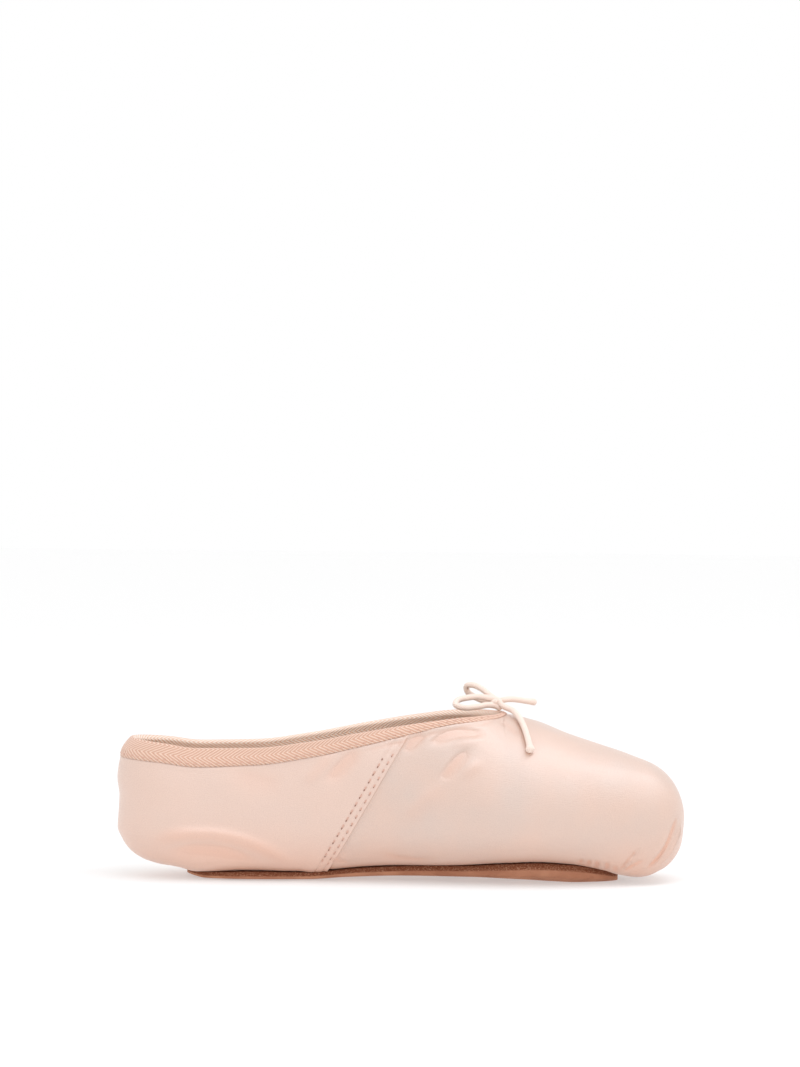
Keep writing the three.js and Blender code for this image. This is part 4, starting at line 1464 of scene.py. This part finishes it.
@dataclass
class DrawstringBow:
    """The drawstring's bow: two cords out of the throat, each with a loop and an end.

    The near end lies over the vamp and down its side; the far one stands out to the front.
    """

    last: ShoeLast
    diameter: float = 2.5
    exit_near: tuple[float, float, float] = (41.2, -1.6, 70.2)
    exit_far: tuple[float, float, float] = (41.6, 1.0, 70.4)
    loop_near: tuple[tuple[float, float, float], ...] = (
        (35.9, -3.6, 72.4), (31.0, -6.6, 71.8), (25.5, -8.6, 71.6), (22.4, -7.2, 72.5),
        (23.2, -3.6, 74.2), (28.0, -1.6, 75.3), (32.4, -1.2, 75.6), (35.6, -1.0, 75.1),
    )
    loop_far: tuple[tuple[float, float, float], ...] = (
        (36.6, 2.0, 75.9), (33.4, 4.6, 78.3), (29.6, 6.8, 79.8), (27.0, 8.8, 79.2),
        (27.4, 9.8, 76.8), (30.2, 8.6, 74.8), (33.4, 5.6, 73.6), (36.2, 3.4, 72.9),
    )
    tail_far: tuple[tuple[float, float, float], ...] = (
        (42.2, 0.8, 74.2), (45.0, 1.6, 74.5), (48.6, 2.2, 74.2), (52.4, 2.7, 73.6),
        (56.2, 3.0, 73.2),
    )
    tail_near: tuple[tuple[float, float, float], ...] = (
        (45.4, -4.6, 1.3), (48.0, -9.8, 0.5), (50.0, -16.5, 0.45), (51.6, -22.4, 0.45),
        (52.7, -26.6, 0.45),
    )
    knot: tuple[float, float, float] = (38.9, -0.6, 73.3)

    def over_vamp(self) -> Array:
        """Centreline of the near end where it lies on the vamp: plan places lifted clear."""
        plan = np.array(self.tail_near)
        lift = self.diameter / 2 + plan[:, 2]

        def at(x: Array, y: Array) -> Array:
            ribs = self.last.ribs(x)
            girth = self.last.girth_at(ribs, np.abs(y))
            return self.last.on(ribs, girth[:, None])[:, 0]

        here = at(plan[:, 0], plan[:, 1])
        along = at(plan[:, 0] + 0.5, plan[:, 1]) - here
        across = at(plan[:, 0], plan[:, 1] - 0.5) - here
        out = np.cross(across, along)
        out *= np.sign(out[:, 2:])
        out /= np.linalg.norm(out, axis=1, keepdims=True)
        return here + out * lift[:, None]

    def end_radius(self, count: int, step: float, swell: float) -> Array:
        """Radius along a cord: rounded at its start, whipped and a little thick at its end."""
        gone = np.arange(count) * step
        left = gone[-1] - gone
        radius = self.diameter / 2 * (1 + swell * hump(left, 1.4, 1.3))
        for distance, rounding in ((gone, 0.8), (left, 0.9)):
            radius *= np.sqrt(np.clip(1 - (1 - np.minimum(distance / rounding, 1.0)) ** 2, 0, 1))
        return radius

    def build(self, cotton: bpy.types.Material) -> None:
        """Make both cords and the knot round them."""
        step = 0.5
        centre = np.array(self.knot)
        near = [
            self.exit_near, (39.6, -2.2, 71.6), *self.loop_near, tuple(centre + (0.6, -1.4, 1.2)),
            (41.6, -3.1, 72.2), *map(tuple, self.over_vamp()),
        ]
        far = [
            self.exit_far, (40.2, 1.6, 72.2), (38.6, 2.2, 74.4), *self.loop_far,
            tuple(centre + (0.4, 2.0, -0.2)), (40.4, 1.0, 73.6), *self.tail_far,
        ]
        knot = self.make_knot(cotton)
        for name, route, nodes, swell, rest in (
            ("drawstring_near", near, ["drawstring_loop_near", "drawstring_tail_near"], 0.5,
             "knot"),
            ("drawstring_far", far, ["drawstring_loop_far", "drawstring_tail_far"], 0.2, "bare"),
        ):
            path = smooth_path(route, step)
            gap = float(np.linalg.norm(path[1] - path[0]))
            tube = cord_tube(path, self.end_radius(len(path), gap, swell))
            cord = tube.piece(name, cotton, "drawstring_cord", nodes)

    def make_knot(self, cotton: bpy.types.Material) -> bpy.types.Object:
        """Make the tight knot: one cord round a small trefoil, squeezed to the knot's size."""
        turn = np.linspace(0.0, 2 * math.pi, 97)
        x = (2.0 + np.cos(3 * turn)) * np.cos(2 * turn)
        y = (2.0 + np.cos(3 * turn)) * np.sin(2 * turn)
        z = np.sin(3 * turn)
        path = np.stack([x * 0.62, y * 0.72, z * 0.85], axis=1) + np.array(self.knot)
        radius = np.full(len(path), self.diameter / 2 * 0.92)
        radius[[0, -1]] = 0.0
        return cord_tube(path, radius).piece(
            "drawstring_knot_tied", cotton, "drawstring_cord", ["drawstring_knot"])


# Studio


@dataclass
class Studio:
    """Camera, floor and light: a long lens low over a white table, and a soft light from above."""

    distance: float = 1800.0
    height: float = 216.3
    sideways: float = -1.4
    pitch: float = 2.335
    roll: float = 0.56
    lens: float = 146.8
    floor: float = 6000.0
    floor_colour: str = "#c4c4c4"
    floor_glow: float = 0.42
    # in metres, the place of the lamp, where it looks and its size
    lamp_place: tuple[float, float, float] = (0.3, -0.26, 0.95)
    lamp_aim: tuple[float, float, float] = (0.0, 0.0, 0.04)
    lamp_size: tuple[float, float] = (1.5, 0.2)
    lamp_watts: float = 4.5
    lamp_colour: str = "#f4f8ff"

    def camera(self) -> None:
        """Make the camera: it looks along +Y, a little down, and rolled by a hair."""
        data = bpy.data.cameras.new("camera")
        data.lens = self.lens
        data.clip_start, data.clip_end = 0.1, 100.0
        eye = bpy.data.objects.new("camera", data)
        turned = (
            Matrix.Rotation(math.radians(90.0 - self.pitch), 4, "X")
            @ Matrix.Rotation(math.radians(self.roll), 4, "Z")
        )
        eye.matrix_world = Matrix.Translation(
            (self.sideways * MM, -self.distance * MM, self.height * MM)) @ turned
        bpy.context.scene.collection.objects.link(eye)
        bpy.context.scene.camera = eye

    def table(self) -> None:
        """Make the floor, which is not part of the shoe."""
        half = self.floor * MM / 2
        mesh = bpy.data.meshes.new("table")
        mesh.from_pydata([(-half, -half, 0), (half, -half, 0), (half, half, 0), (-half, half, 0)],
                         [], [(0, 1, 2, 3)])
        white = PlainMatt("matt_white_table", self.floor_colour, 0.0, glow=self.floor_glow)
        mesh.materials.append(white.make())
        thing = bpy.data.objects.new("table", mesh)
        bpy.context.scene.collection.objects.link(thing)

    def light(self) -> None:
        """Make the white surroundings, and a long soft light that faces the shoe from above."""
        scene = bpy.context.scene
        scene.world = bpy.data.worlds.new("white_room")
        scene.world.use_nodes = True
        back = scene.world.node_tree.nodes["Background"]
        back.inputs[0].default_value = (1.0, 1.0, 1.0, 1.0)
        back.inputs[1].default_value = 1.0
        data = bpy.data.lights.new("overhead", "AREA")
        data.shape = "RECTANGLE"
        data.size, data.size_y = self.lamp_size
        data.energy, data.color = self.lamp_watts, linear(self.lamp_colour)[:3]
        lamp = bpy.data.objects.new("overhead", data)
        lamp.rotation_mode = "QUATERNION"
        lamp.location = self.lamp_place
        aim = Vector(self.lamp_aim) - Vector(self.lamp_place)
        lamp.rotation_quaternion = aim.to_track_quat("-Z", "Y")
        scene.collection.objects.link(lamp)
        scene.view_settings.view_transform = "Standard"


# All of it


def main() -> None:
    """Build the studio, the cords and then each part of the shoe, in that order."""
    logging.basicConfig(level=logging.INFO, format="%(name)s %(message)s")
    studio = Studio()
    studio.camera()
    last = ShoeLast()
    DrawstringBow(last).build(CottonCord("braided_cotton_cord").make())
    binding = EdgeBinding(last)
    upper = SatinUpper(last)
    upper.build(binding.reach, PolyesterSatin().make(), CottonTwill().make())
    thread = CottonCord("sewing_thread", yarn="#edc6b4", gap="#cf9f8b", yarn_mm=0.5,
                        twist=Twist.SEWN).make()
    binding.build(HerringboneTape().make(), thread)
    SideSeams(upper).build(binding.reach, thread, PlainMatt("needle_hole_shadow", "#9a7264").make())
    InsoleBoard(last).build(
        CottonTwill("cotton_sock_pasted", high="#ecd9c8", low="#d9bea8", line_mm=1.2).make())
    LeatherSole(last).build(SoleLeather().make())
    studio.table()
    studio.light()


if __name__ == "__main__":
    main()
